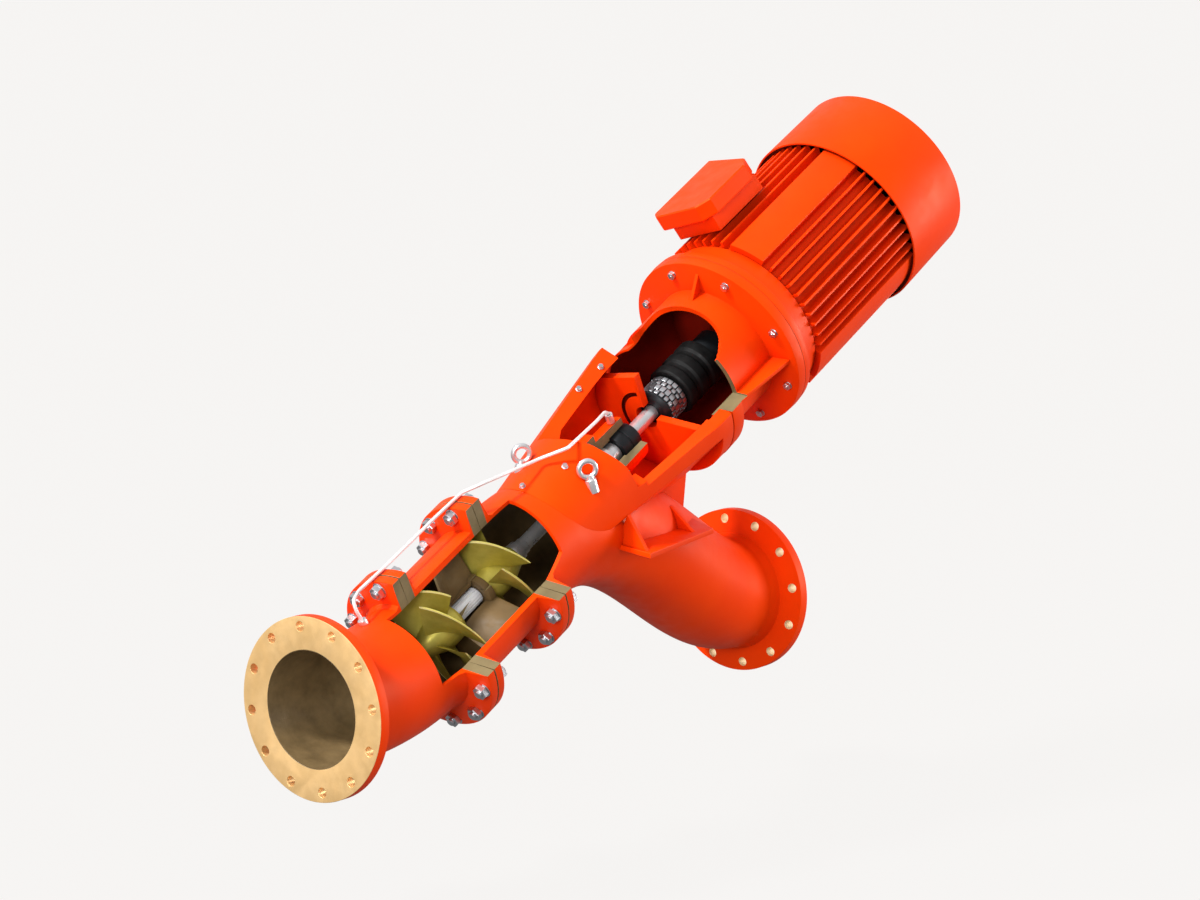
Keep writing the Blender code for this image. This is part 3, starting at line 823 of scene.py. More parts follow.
@dataclass
class PipePath:
    """A straight lead-in, a smooth bend and a straight run-out, measured along the line."""

    lead_start: Vector
    bend_start: Vector
    start_pull: float
    bend_end: Vector
    end_pull: float
    run_end: Vector
    pieces: int = 60
    step: float = 4.0
    flange_room: float = 12.0

    def __post_init__(self) -> None:
        """Measures the line."""
        start_direction = (self.bend_start - self.lead_start).normalized()
        end_direction = (self.run_end - self.bend_end).normalized()
        a, d = self.bend_start, self.bend_end
        b, c = a + self.start_pull * start_direction, d - self.end_pull * end_direction
        self.points = [self.lead_start]
        for t in spread(0.0, 1.0, self.pieces + 1):
            self.points.append(
                (1 - t) ** 3 * a + 3 * t * (1 - t) ** 2 * b + 3 * t * t * (1 - t) * c + t**3 * d
            )
        self.points.append(self.run_end)
        self.lengths = [0.0]
        for first, second in zip(self.points, self.points[1:]):
            self.lengths.append(self.lengths[-1] + (second - first).length)
        self.length = self.lengths[-1]

    def __call__(self, distance: float) -> tuple[Vector, Vector]:
        """Centre and direction at a distance along the line."""
        ahead, behind = self.place(distance + self.step), self.place(distance - self.step)
        return self.place(distance), (ahead - behind).normalized()

    def place(self, distance: float) -> Vector:
        """Finds a point of the line.

        Args:
            distance: how far along the line, also a little past its ends.

        Returns:
            The point.
        """
        last = len(self.lengths) - 2
        index = 0
        while index < last and self.lengths[index + 1] < distance:
            index += 1
        part = (distance - self.lengths[index]) / (self.lengths[index + 1] - self.lengths[index])
        return self.points[index] + part * (self.points[index + 1] - self.points[index])

    def bend(self, count: int) -> list[float]:
        """Distances spread over the bend."""
        return spread(self.lengths[1], self.lengths[-2], count)

    def flanged(
        self, steps: int, first: float, last: float, faces: tuple[Zone, Zone]
    ) -> list[tuple]:
        """Profile of a pipe with a flange at each end.

        Args:
            steps: how many stations the bend takes.
            first: thickness of the flange at the start.
            last: thickness of the flange at the end.
            faces: zones of the start's and the end's face.

        Returns:
            The corners of the closed profile.
        """
        start, end = first, self.length - last
        stations, room = self.bend(steps), self.flange_room
        return [
            (0.0, FLANGE_RADIUS, 2.0), (start, FLANGE_RADIUS, 2.0), (start, PIPE_OUTER, 8.0),
            *[(s, PIPE_OUTER) for s in stations if start + room < s < end - room],
            (end, PIPE_OUTER, 8.0), (end, FLANGE_RADIUS, 2.0),
            (self.length, FLANGE_RADIUS, 2.0, faces[1]), (self.length, PIPE_BORE, 0.0, Zone.BORE),
            *[(s, PIPE_BORE, 0.0, Zone.BORE) for s in reversed(stations)],
            (0.0, PIPE_BORE, 1.5, faces[0]),
        ]

    def core(self, radius: float, steps: int, past: float = 0.0) -> list[tuple[float, float]]:
        """Profile of a solid bar along the bend.

        Args:
            radius: the bar's radius.
            steps: how many stations the bend takes.
            past: how far its ends run past the line, if they leave the bend.

        Returns:
            The corners of the open profile.
        """
        stations = self.bend(steps)
        if past > 0:
            stations = [-past, *stations, self.length + past]
        return [(s, radius) for s in stations]


SUCTION_PATH = PipePath(
    Vector((0, 0, 0)), Vector((1, 0, 0)), 60.0, on_shaft(SUCTION_JOINT - JOINT_FLANGE), 128.0,
    on_shaft(SUCTION_JOINT - HALF_GAP),
)
ELBOW_PATH = PipePath(
    on_shaft(CASING_JOINT + HALF_GAP), on_shaft(CASING_JOINT + JOINT_FLANGE), 400.0,
    Vector((FACE_TO_FACE - 56.0, 0, 0)), 208.0, Vector((FACE_TO_FACE, 0, 0)),
)
SUCTION_STEPS = 30
ELBOW_STEPS = 56


def tool(form: Form, name: str, place: Matrix, zone: int = Zone.SKIN) -> Object:
    """Turns a form into a tool for cutting or joining.

    Args:
        form: the form.
        name: the tool's name.
        place: matrix from millimetres to metres.
        zone: the zone of the faces that it leaves.

    Returns:
        The tool.
    """
    for face in form.mesh.faces:
        face.material_index = zone
    return form.finish(name, place, [None] * len(Zone))


def turned_tool(
    name: str, profile: Corners, place: Matrix, zone: int = Zone.SKIN, path: Place = along_z,
    segments: int = 128,
) -> Object:
    """A solid round tool."""
    return tool(Form().turn(profile, path, segments, hollow=False), name, place, zone)


def drill_tool(name: str, radius: float, start: float, end: float, zone: int = Zone.SKIN) -> Object:
    """A drill in the shaft's line."""
    return turned_tool(name, [(start, radius), (end, radius)], SHAFT, zone, segments=MEDIUM)


def elbow_skin_tool() -> Object:
    """Tool of the elbow's outside, with a small gap."""
    core = ELBOW_PATH.core(PIPE_OUTER + GAP, ELBOW_STEPS)
    return turned_tool("elbow_skin_tool", core, PIPE, Zone.SKIN, ELBOW_PATH, LARGE)


def frame_skin_tool() -> Object:
    """Makes the tool of the bearing frame's outside, with a small gap.

    Returns:
        The tool.
    """
    wide = skin_radius(PLATE_BACK) + GAP
    profile = [
        (500, skin_radius(500) + GAP), (PLATE_BACK, wide), (FRAME_STEP, wide),
        (FRAME_END, 186 + GAP), (1200, 190),
    ]
    return turned_tool("frame_skin_tool", profile, SHAFT)


def bolt_hole_tool(face: float, outward: int, zone: int) -> Object:
    """Twelve drills through a pipe flange, chamfered at the flange's face.

    Args:
        face: the flange's outer face along the pipe line.
        outward: 1 where the face looks along the line and -1 where it looks back.
        zone: the zone of the holes' walls.

    Returns:
        The tool.
    """
    radius, chamfer, proud, depth = 11.0, 1.2, 5.0, 40.0
    steps = (
        (proud, radius + chamfer), (0.0, radius + chamfer), (-chamfer, radius), (-depth, radius)
    )
    form = Form()
    for k in range(BOLTS):
        angle = 2 * math.pi * (k + 0.5) / BOLTS
        y, z = BOLT_CIRCLE * math.sin(angle), BOLT_CIRCLE * math.cos(angle)
        form.loft([
            [Vector((face + outward * x, y + p.x, z + p.y)) for p in circle(size, 28)]
            for x, size in steps
        ])
    return tool(form, "bolt_hole_tool", PIPE, zone)


@dataclass(frozen=True)
class Cutaway:
    """The quarter that is cut away, between the near side and straight up from the shaft."""

    window_start: float = 28.0
    window_slope_end: float = 85.5
    window_end: float = 508.0
    window_reach: float = 230.0
    window_round_start: float = 14.0
    window_round_end: float = 28.0
    quarter_start: float = 762.0
    quarter_end: float = 1106.0
    quarter_reach: float = 260.0
    trim_angle: float = -44.4
    overlap: float = 0.02

    def opening(
        self, start: Sequence[tuple], end: Sequence[tuple], zone: int = Zone.SKIN
    ) -> Object:
        """Tool of a stretch of the opening over the impellers.

        Args:
            start: the inner and the outer (height, distance, rounding) corner at its start.
            end: the outer and the inner corner at its end.
            zone: the zone of the faces that it leaves.

        Returns:
            The tool.
        """
        outline, _ = round_profile([*start, *end], True, 8)
        reach = self.window_reach
        return tool(Form().prism(outline, -reach, 0.0), "wet_window_tool", SHAFT @ FACE_ON, zone)

    def start_corners(self) -> list[tuple]:
        """The two corners at the sloping start of the opening."""
        low, high = self.window_start, self.window_slope_end
        return [(0, low, self.window_round_start), (self.window_reach, high)]

    def end_corners(self) -> list[tuple]:
        """The two corners at the rounded end of the opening."""
        return [(self.window_reach, self.window_end), (0, self.window_end, self.window_round_end)]

    def square(self, distance: float) -> list[tuple]:
        """The two corners of a square start of a stretch."""
        return [(0, distance), (self.window_reach, distance)]

    def window(self) -> Object:
        """Tool of the whole opening."""
        return self.opening(self.start_corners(), self.end_corners(), Zone.SECTION)

    def stretch(self, start: float, end: float, zone: int = Zone.SECTION) -> Object:
        """Tool of a straight stretch of the opening, a little longer than the distances say."""
        low, high = self.square(start - self.overlap), self.square(end + self.overlap)
        return self.opening(low, high[::-1], zone)

    def over_bend(self) -> list[Object]:
        """Opens the suction bend: a painted wall and a bare flange.

        Returns:
            The tools.
        """
        joint = SUCTION_JOINT - JOINT_FLANGE
        wall = self.opening(self.start_corners(), self.square(joint)[::-1])
        return [wall, self.stretch(joint, SUCTION_JOINT)]

    def over_casing(self) -> list[Object]:
        """Opens the casing: two bare flanges and a painted wall between.

        Returns:
            The tools.
        """
        first, last = SUCTION_JOINT + JOINT_FLANGE, CASING_JOINT - JOINT_FLANGE
        wall = self.stretch(first, last, Zone.SKIN)
        return [self.stretch(SUCTION_JOINT, first), wall, self.stretch(last, CASING_JOINT)]

    def over_elbow(self) -> list[Object]:
        """Opens the elbow: a bare flange and a painted wall.

        Returns:
            The tools.
        """
        joint = CASING_JOINT + JOINT_FLANGE
        wall = self.opening(self.square(joint), self.end_corners())
        return [self.stretch(CASING_JOINT, joint), wall]

    def quarter(self, zone: int = Zone.SECTION) -> Object:
        """Makes the tool of the quarter cut from the seal to the coupling.

        Args:
            zone: the zone of the faces that it leaves.

        Returns:
            The tool.
        """
        reach = self.quarter_reach
        form = Form().box((0, 0, self.quarter_start), (reach, reach, self.quarter_end))
        return tool(form, "dry_quarter_tool", SHAFT, zone)

    def trim(self, inner: float, start: float) -> Object:
        """Tool that trims the frame's back flange flat on its upper far side."""
        form = Form().box((inner, -150, start), (self.quarter_reach, 150, 1100))
        return tool(form, "trim_tool", about_shaft(self.trim_angle))


@dataclass(frozen=True)
class Hexagon:
    """A hexagon nut or bolt head with a stud end, and a washer under it."""

    across: float = 30.0
    height: float = 14.0
    washer: float = 18.5
    stud: float = 9.5
    proud: float = 5.0
    washer_thick: float = 2.5

    def build(self, form: Form, place: Matrix) -> None:
        """Adds the fastener to a form.

        Args:
            form: the form.
            place: where it stands, along z on the origin.
        """
        corner = self.across / math.sqrt(3.0)
        chamfer = (corner - self.across * 0.48) * 0.55
        top = self.washer_thick + self.height
        start = len(form.mesh.verts)
        form.prism(circle(self.washer, 24), 0.0, self.washer_thick, 0.5)
        form.prism(circle(corner, 6), self.washer_thick, top, chamfer)
        if self.proud > 0:
            form.prism(circle(self.stud, 24), top - 1.0, top + self.proud, 1.2)
        form.mesh.verts.ensure_lookup_table()
        bmesh.ops.transform(form.mesh, matrix=place, verts=form.mesh.verts[start:])


# Sub-assemblies


@dataclass
class Assembly:
    """A group of pieces that share the palette and the cutaway."""

    palette: Palette
    cutaway: Cutaway
    body: ClassVar[Body] = Body.FIXED

    def casting(
        self, name: str, nodes: Sequence[str], form: Form, place: Matrix = SHAFT,
        cuts: Sequence[Object] = (), joined: Sequence[Object] = (),
        inside: Optional[Material] = None,
    ) -> None:
        """Makes a painted casting and settles it.

        Args:
            name: the piece's name.
            nodes: the nodes it stands for.
            form: its form.
            place: matrix from the form's millimetres to metres.
            cuts: tools that are cut from it.
            joined: forms that are joined to it before.
            inside: the finish of its bore, such as painted shade, if that isn't bare.
        """
        piece = form.finish(name, place, self.palette.painted())
        if inside is not None:
            piece.data.materials[Zone.BORE] = inside
        if joined:
            carve(piece, joined, union=True)
        if cuts:
            carve(piece, cuts)
        settle(piece, self.body, nodes)

    def plain(
        self, name: str, nodes: Sequence[str], form: Form, finish: Material,
        slot: Slot = Slot.STEEL, place: Matrix = SHAFT, cuts: Sequence[Object] = (),
    ) -> None:
        """Makes a piece of one finish and settles it.

        Args:
            name: the piece's name.
            nodes: the nodes it stands for.
            form: its form.
            finish: its finish.
            slot: its material slot, which is not used.
            place: matrix from the form's millimetres to metres.
            cuts: tools that are cut from it.
        """
        piece = form.finish(name, place, self.palette.plain(finish))
        if cuts:
            carve(piece, cuts)
        settle(piece, self.body, nodes)


@dataclass
class WetEnd(Assembly):
    """Suction bend, casing, guide vanes and interstage bush."""

    casing_fillet: float = 8.0
    vanes: int = 6
    vane_angle: float = -18.0
    vane_thick: float = 6.0
    vane_thinning: float = 0.8
    vane_root: float = 30.5
    vane_tip: float = 124.2
    vane_lean: tuple[tuple[float, float], ...] = (
        (222, 0.34), (236, 0.27), (250, 0.19), (264, 0.1), (278, 0.03), (290, 0.0), (338, 0.0)
    )
    hub_start: float = 236.0
    hub_step: float = 316.0

    def build(self) -> None:
        """Builds and dresses every piece."""
        self.suction_bend()
        self.diffuser_casing()
        self.guide_vanes()
        bush = [
            (320, 39.2, 1.0), (338, 39.2, 1.2), (338, 32, 1.0), (336.5, 17.8, 1.0), (320, 17.8, 1.0)
        ]
        self.plain(
            "interstage_bush_ring", ["interstage_bush"], Form().turn(bush), self.palette.vane,
            Slot.VANE,
        )

    def suction_bend(self) -> None:
        """The flanged inlet bend."""
        profile = SUCTION_PATH.flanged(
            SUCTION_STEPS, FLANGE_THICKNESS, JOINT_FLANGE, (Zone.FACED, Zone.SECTION)
        )
        form = Form().turn(profile, SUCTION_PATH, LARGE)
        cuts = [bolt_hole_tool(0.0, -1, Zone.FACED), *self.cutaway.over_bend()]
        self.casting("suction_bend_casting", ["suction_bend"], form, PIPE, cuts)

    def diffuser_casing(self) -> None:
        """The casing between the two bolted joints."""
        start, end = SUCTION_JOINT + HALF_GAP, CASING_JOINT - HALF_GAP
        first, last = SUCTION_JOINT + JOINT_FLANGE, CASING_JOINT - JOINT_FLANGE
        profile = [
            (start, FLANGE_RADIUS, 2.0), (first, FLANGE_RADIUS, 2.0),
            (first, PIPE_OUTER, self.casing_fillet), (last, PIPE_OUTER, self.casing_fillet),
            (last, FLANGE_RADIUS, 2.0), (end, FLANGE_RADIUS, 2.0, Zone.SECTION),
            (end, PIPE_BORE, 0.0, Zone.BORE), (start, PIPE_BORE, 0.0, Zone.SECTION),
        ]
        self.casting(
            "diffuser_casing_casting", ["diffuser_casing"], Form().turn(profile, segments=LARGE),
            cuts=self.cutaway.over_casing(),
        )

    def guide_vanes(self) -> None:
        """The bent vanes on their hub tube, which is open where the sleeve shows."""
        start, step = self.hub_start, self.hub_step
        profile = [
            (start, 33, 1.0), (step, 33, 3.0), (320, 44, 2.0), (338, 44, 1.5), (338, 40), (319, 40),
            (step, 28.5, 1.0), (start, 28.5, 1.0),
        ]
        hub = Form().turn(profile).finish(
            "guide_vane_ring", SHAFT, self.palette.plain(self.palette.vane)
        )
        relief = Form().box((-14, 0, start - 1), (60, 60, step))
        carve(hub, [tool(relief, "guide_vane_relief_tool", SHAFT)])
        blades = Form()
        for k in range(self.vanes):
            turn = math.radians(self.vane_angle + 360.0 * k / self.vanes)
            stations = [(z, turn + lean) for z, lean in resampled(self.vane_lean, 20)]
            foil(
                blades, self.vane_root, self.vane_tip, stations, self.vane_thick,
                self.vane_thick * self.vane_thinning,
            )
        carve(hub, [tool(blades, "guide_vane_forms", SHAFT)], union=True)
        hub.data.materials[Zone.SECTION] = self.palette.section
        carve(hub, [self.cutaway.window()])
        settle(hub, self.body, ["guide_vanes"])


def resampled(pairs: Sequence[tuple[float, float]], count: int) -> list[tuple[float, float]]:
    """Reads a line of straight pieces at evenly spaced distances.

    Args:
        pairs: the line's (distance, value) corners.
        count: how many pairs to read.

    Returns:
        The (distance, value) pairs.
    """
    made = []
    for distance in spread(pairs[0][0], pairs[-1][0], count):
        index = 0
        while index < len(pairs) - 2 and pairs[index + 1][0] < distance:
            index += 1
        (z0, a0), (z1, a1) = pairs[index], pairs[index + 1]
        made.append((distance, a0 + (a1 - a0) * (distance - z0) / (z1 - z0)))
    return made


def foil(
    form: Form, inner: float, outer: float, stations: Sequence[tuple[float, float]],
    root_thick: float, tip_thick: float, rows: int = 10, band: float = 4.5,
) -> None:
    """Adds one twisted blade with a round leading edge and a thin trailing edge.

    Args:
        form: the form to add to.
        inner: radius at the root.
        outer: radius at the tip.
        stations: (distance along the shaft, angle) pairs of the middle line.
        root_thick: thickness at the root.
        tip_thick: thickness at the tip.
        rows: rows of points from root to tip.
        band: height of the band at the tip, which takes the painted highlight on the impellers.
    """
    nose, belly, thinning = 0.12, 0.3, 0.55
    last = len(stations) - 1
    there_and_back = [(k, 1) for k in range(last + 1)] + [(k, -1) for k in range(last - 1, 0, -1)]
    rings = []
    for radius in [*spread(inner, outer - band, rows - 1), outer]:
        part = (radius - inner) / (outer - inner)
        thick = root_thick + (tip_thick - root_thick) * part
        around = []
        for index, side in there_and_back:
            chord = index / last
            lead = math.sqrt(min(chord / nose, 1.0))
            shape = lead * (1.0 - thinning * max(chord - belly, 0.0) / (1.0 - belly))
            if index in (0, last):
                shape = nose if index == 0 else 0.0
            distance, angle = stations[index]
            around.append(polar(radius, angle + side * shape * thick / 2 / radius, distance))
        rings.append(around)
    form.loft(rings, [Zone.SKIN] * (rows - 2) + [Zone.FACED], cap_zone=Zone.FACED)


@dataclass
class Discharge(Assembly):
    """The outlet elbow with its seal boss and its two side brackets."""

    boss_radius: float = 80.0
    boss_start: float = 640.0
    boss_end: float = 790.0
    boss_bore: float = 33.0
    plate_top: float = 248.0
    plate_thick: float = 12.0
    gussets: tuple[tuple[float, ...], ...] = ((840, 205, 137, 321), (1056, 172, 94, 293))
    gusset_root: float = 60.0

    def build(self) -> None:
        """Builds and dresses the elbow and the brackets."""
        profile = ELBOW_PATH.flanged(
            ELBOW_STEPS, JOINT_FLANGE, FLANGE_THICKNESS, (Zone.SECTION, Zone.FACED)
        )
        radius = self.boss_radius
        profile_of_boss = [(self.boss_start, radius), (self.boss_end, radius)]
        boss = turned_tool("seal_boss_form", profile_of_boss, SHAFT)
        core = ELBOW_PATH.core(PIPE_BORE, ELBOW_STEPS, 5.0)
        cuts = [
            turned_tool("elbow_bore_tool", core, PIPE, Zone.BORE, ELBOW_PATH, LARGE),
            drill_tool("boss_bore_tool", self.boss_bore, 560, 840, Zone.BORE),
            # The discharge flange's holes take the pale painted-light finish.
            bolt_hole_tool(FACE_TO_FACE, 1, Zone.DRILLED),
            *self.cutaway.over_elbow(), self.cutaway.quarter(),
        ]
        self.casting(
            "discharge_elbow_casting", ["discharge_elbow"], Form().turn(profile, ELBOW_PATH, LARGE),
            PIPE, cuts, [boss],
        )
        self.bracket("elbow_bracket_near", -1)
        self.bracket("elbow_bracket_far", 1)

    def bracket(self, node: str, side: int) -> None:
        """A level plate with two gussets on the elbow's side.

        Args:
            node: the node it stands for.
            side: -1 for the near side and 1 for the far one.
        """
        outline = [(828, side * 100), (828, side * 218), (1119, side * 172), (1160, side * 60)]
        plate = Form().prism(outline, self.plate_top - self.plate_thick, self.plate_top, 1.5)
        low, root, half = self.plate_top - self.plate_thick / 2, self.gusset_root, 6.0
        joined = []
        for x, reach, apex_y, apex_z in self.gussets:
            corners = [(reach, low), (apex_y, apex_z), (root, apex_z), (root, low)]
            gusset = Form().prism([(side * y, z) for y, z in corners], x - half, x + half, 1.0)
            joined.append(tool(gusset, f"{node}_gusset_form", PIPE @ TOP_ON))
        cuts = [elbow_skin_tool(), frame_skin_tool()]
        self.casting(f"{node}_plate", [node], plate, PIPE, cuts, joined)


@dataclass
class DryFrame(Assembly):
    """The bearing frame, its web, the cross plate, the seal and the lantern."""

    flat_angle: float = 135.6
    flat_share: float = 0.85
    plate_front: float = 962.0
    plate_flat: float = 112.0
    plate_angle: float = -14.6
    groove_turn: tuple[float, float] = (-150.0, -8.0)
    lantern_tube: float = 150.0
    lantern_bore: float = 145.0
    rib_root: float = 147.0
    rib_half: float = 4.0
    arch: tuple[tuple[float, float], ...] = (
        (-30, 1000), (-22, 1028), (-22, 1060), (-29, 1105), (-32, 1160), (-20, 1174), (-1, 1180),
        (14, 1180), (24, 1177), (35, 1169), (44, 1153), (54, 1107), (62, 1000),
    )

    def build(self) -> None:
        """Builds and dresses every piece."""
        self.bearing_frame()
        web = [(1040, 200), (1217, 200), (1217, 380), (1150, 380), (1040, 340)]
        self.casting(
            "frame_web_plate", ["frame_web"], Form().prism(web, -8.0, 8.0), PIPE @ FACE_ON,
            [elbow_skin_tool(), frame_skin_tool()],
        )
        self.cross_plate()
        self.seal()
        self.lantern()

    def bearing_frame(self) -> None:
        """The cone on the elbow, open on top."""
        end, step, wide = FRAME_END - HALF_GAP, FRAME_STEP, skin_radius(PLATE_BACK)
        profile = [
            (CONE_START, CONE_RADIUS), (PLATE_BACK, wide), (step, wide, 3.0),
            (end, 186, 2.0, Zone.SECTION), (end, 151), (step, 151, 1.0), (step, 144, 1.0),
            (960, 144), (900, 140), (830, 133), (750, 125), (690, 100), (CONE_START, 95),
        ]
        opening = [(-79, 691), (90, 735), (300, 735), (300, 1110), (-300, 1110), (-300, 691)]
        flat = [
            (self.flat_share * skin_radius(500), 500), (300, 500), (300, step),
            (self.flat_share * skin_radius(step), step),
        ]
        cuts = [
            elbow_skin_tool(),
            tool(
                Form().prism(opening, OPENING_HEIGHT, 300.0), "frame_opening_tool",
                about_shaft(OPENING_ANGLE) @ TOP_ON,
            ),
            tool(
                Form().prism(flat, -200.0, 200.0), "frame_flat_tool",
                about_shaft(self.flat_angle) @ FACE_ON,
            ),
            self.cutaway.quarter(Zone.SKIN),
            self.cutaway.trim(100.0, step),
        ]
        form = Form().turn(profile, segments=LARGE)
        self.casting("bearing_frame_casting", ["bearing_frame"], form, cuts=cuts)

    def cross_plate(self) -> None:
        """The plate across the frame, round the shaft, with a groove on its far half; the groove is
        painted shade.
        """
        front, back = self.plate_front, PLATE_BACK
        plate = Form().turn(
            [(front, 143.5, 1.0), (back, 143.5, 1.0), (back, 28, 1.0), (front, 28, 1.5)]
        )
        above = Form().box((self.plate_flat, -150, 940), (200, 150, 1000))
        top = tool(above, "plate_top_tool", about_shaft(self.plate_angle))
        section = ((59, front - 1), (70, front - 1), (69, front + 9), (60, front + 9))
        rings = [
            [polar(radius, math.radians(degrees), z) for radius, z in section]
            for degrees in spread(*self.groove_turn, 40)
        ]
        # Painted shade: the groove's faces take the dark inside finish.
        groove = tool(Form().loft(rings), "plate_groove_tool", SHAFT, Zone.BORE)
        cuts = [top, groove, self.cutaway.quarter(Zone.SKIN)]
        self.casting(
            "cross_plate_disc", ["cross_plate"], plate, cuts=cuts, inside=self.palette.shade
        )

    def seal(self) -> None:
        """The seal housing on the elbow's boss and the gland sleeve in it."""
        housing = [
            (790.3, 61, 1.0), (888, 61, 3.0), (888, 38, 2.0, Zone.BORE), (832, 38, 0.0, Zone.BORE),
            (832, 33, 0.0, Zone.BORE), (790.3, 33),
        ]
        self.casting(
            "seal_housing_casting", ["seal_housing"], Form().turn(housing),
            cuts=[elbow_skin_tool(), self.cutaway.quarter()],
        )
        gland = [
            (796, 32, 0.8), (806, 32, 0.8), (806, 25, 0.8), (834, 25, 1.2), (834, 18), (796, 18)
        ]
        self.plain("seal_gland_sleeve", ["seal_gland"], Form().turn(gland), self.palette.steel)

    def lantern(self) -> None:
        """The tube between the frame and the motor, with its arch, its ribs and its big flange, its
        bore painted shade.
        """
        foot, end, flange = FRAME_END + HALF_GAP, MOTOR_FACE - HALF_GAP, LANTERN_FLANGE
        tube, bore, root = self.lantern_tube, self.lantern_bore, self.rib_root
        profile = [
            (foot, 187, 2.0), (1088, 187, 3.0), (1088, tube, 8.0), (flange, tube, 8.0),
            (flange, 227, 2.0), (end, 227, 0.6, Zone.SECTION), (end, bore, 0.0, Zone.BORE),
            (1022, bore), (1022, tube, 0.5), (foot, tube),
        ]
        short = [(root, 1196), (212, 1255), (root, 1255)]
        full = [(root, 1082), (183, 1082), (210, 1255), (root, 1255)]
        ribs = []
        for quarter, outline in enumerate((short, full, full, full)):
            rib = Form().prism(outline, -self.rib_half, self.rib_half, 1.0)
            place = about_shaft(90.0 * quarter) @ FACE_ON
            ribs.append(tool(rib, f"lantern_rib_form_{quarter}", place))
        line = smooth_line([Vector(corner) for corner in self.arch], 5)
        rings = [[polar(radius, math.radians(p.x), p.y) for p in line] for radius in (60.0, 420.0)]
        arch = tool(Form().loft(rings), "lantern_arch_tool", SHAFT)
        self.casting(
            "lantern_casting", ["lantern"], Form().turn(profile, segments=LARGE),
            cuts=[arch, self.cutaway.quarter(), self.cutaway.trim(tube, 1030.0)], joined=ribs,
            inside=self.palette.shade,
        )


def smooth_line(corners: Sequence[Vector], steps: int) -> list[Vector]:
    """Draws a smooth line through corners.

    Args:
        corners: the points it runs through.
        steps: steps between two corners.

    Returns:
        The line's points.
    """
    line = []
    for index in range(len(corners) - 1):
        before = corners[max(index - 1, 0)]
        start, end = corners[index], corners[index + 1]
        after = corners[min(index + 2, len(corners) - 1)]
        for step in range(steps):
            t = step / steps
            line.append(
                0.5 * (2 * start + (end - before) * t
                       + (2 * before - 5 * start + 4 * end - after) * t * t
                       + (3 * start - before - 3 * end + after) * t**3)
            )
    line.append(corners[-1])
    return line


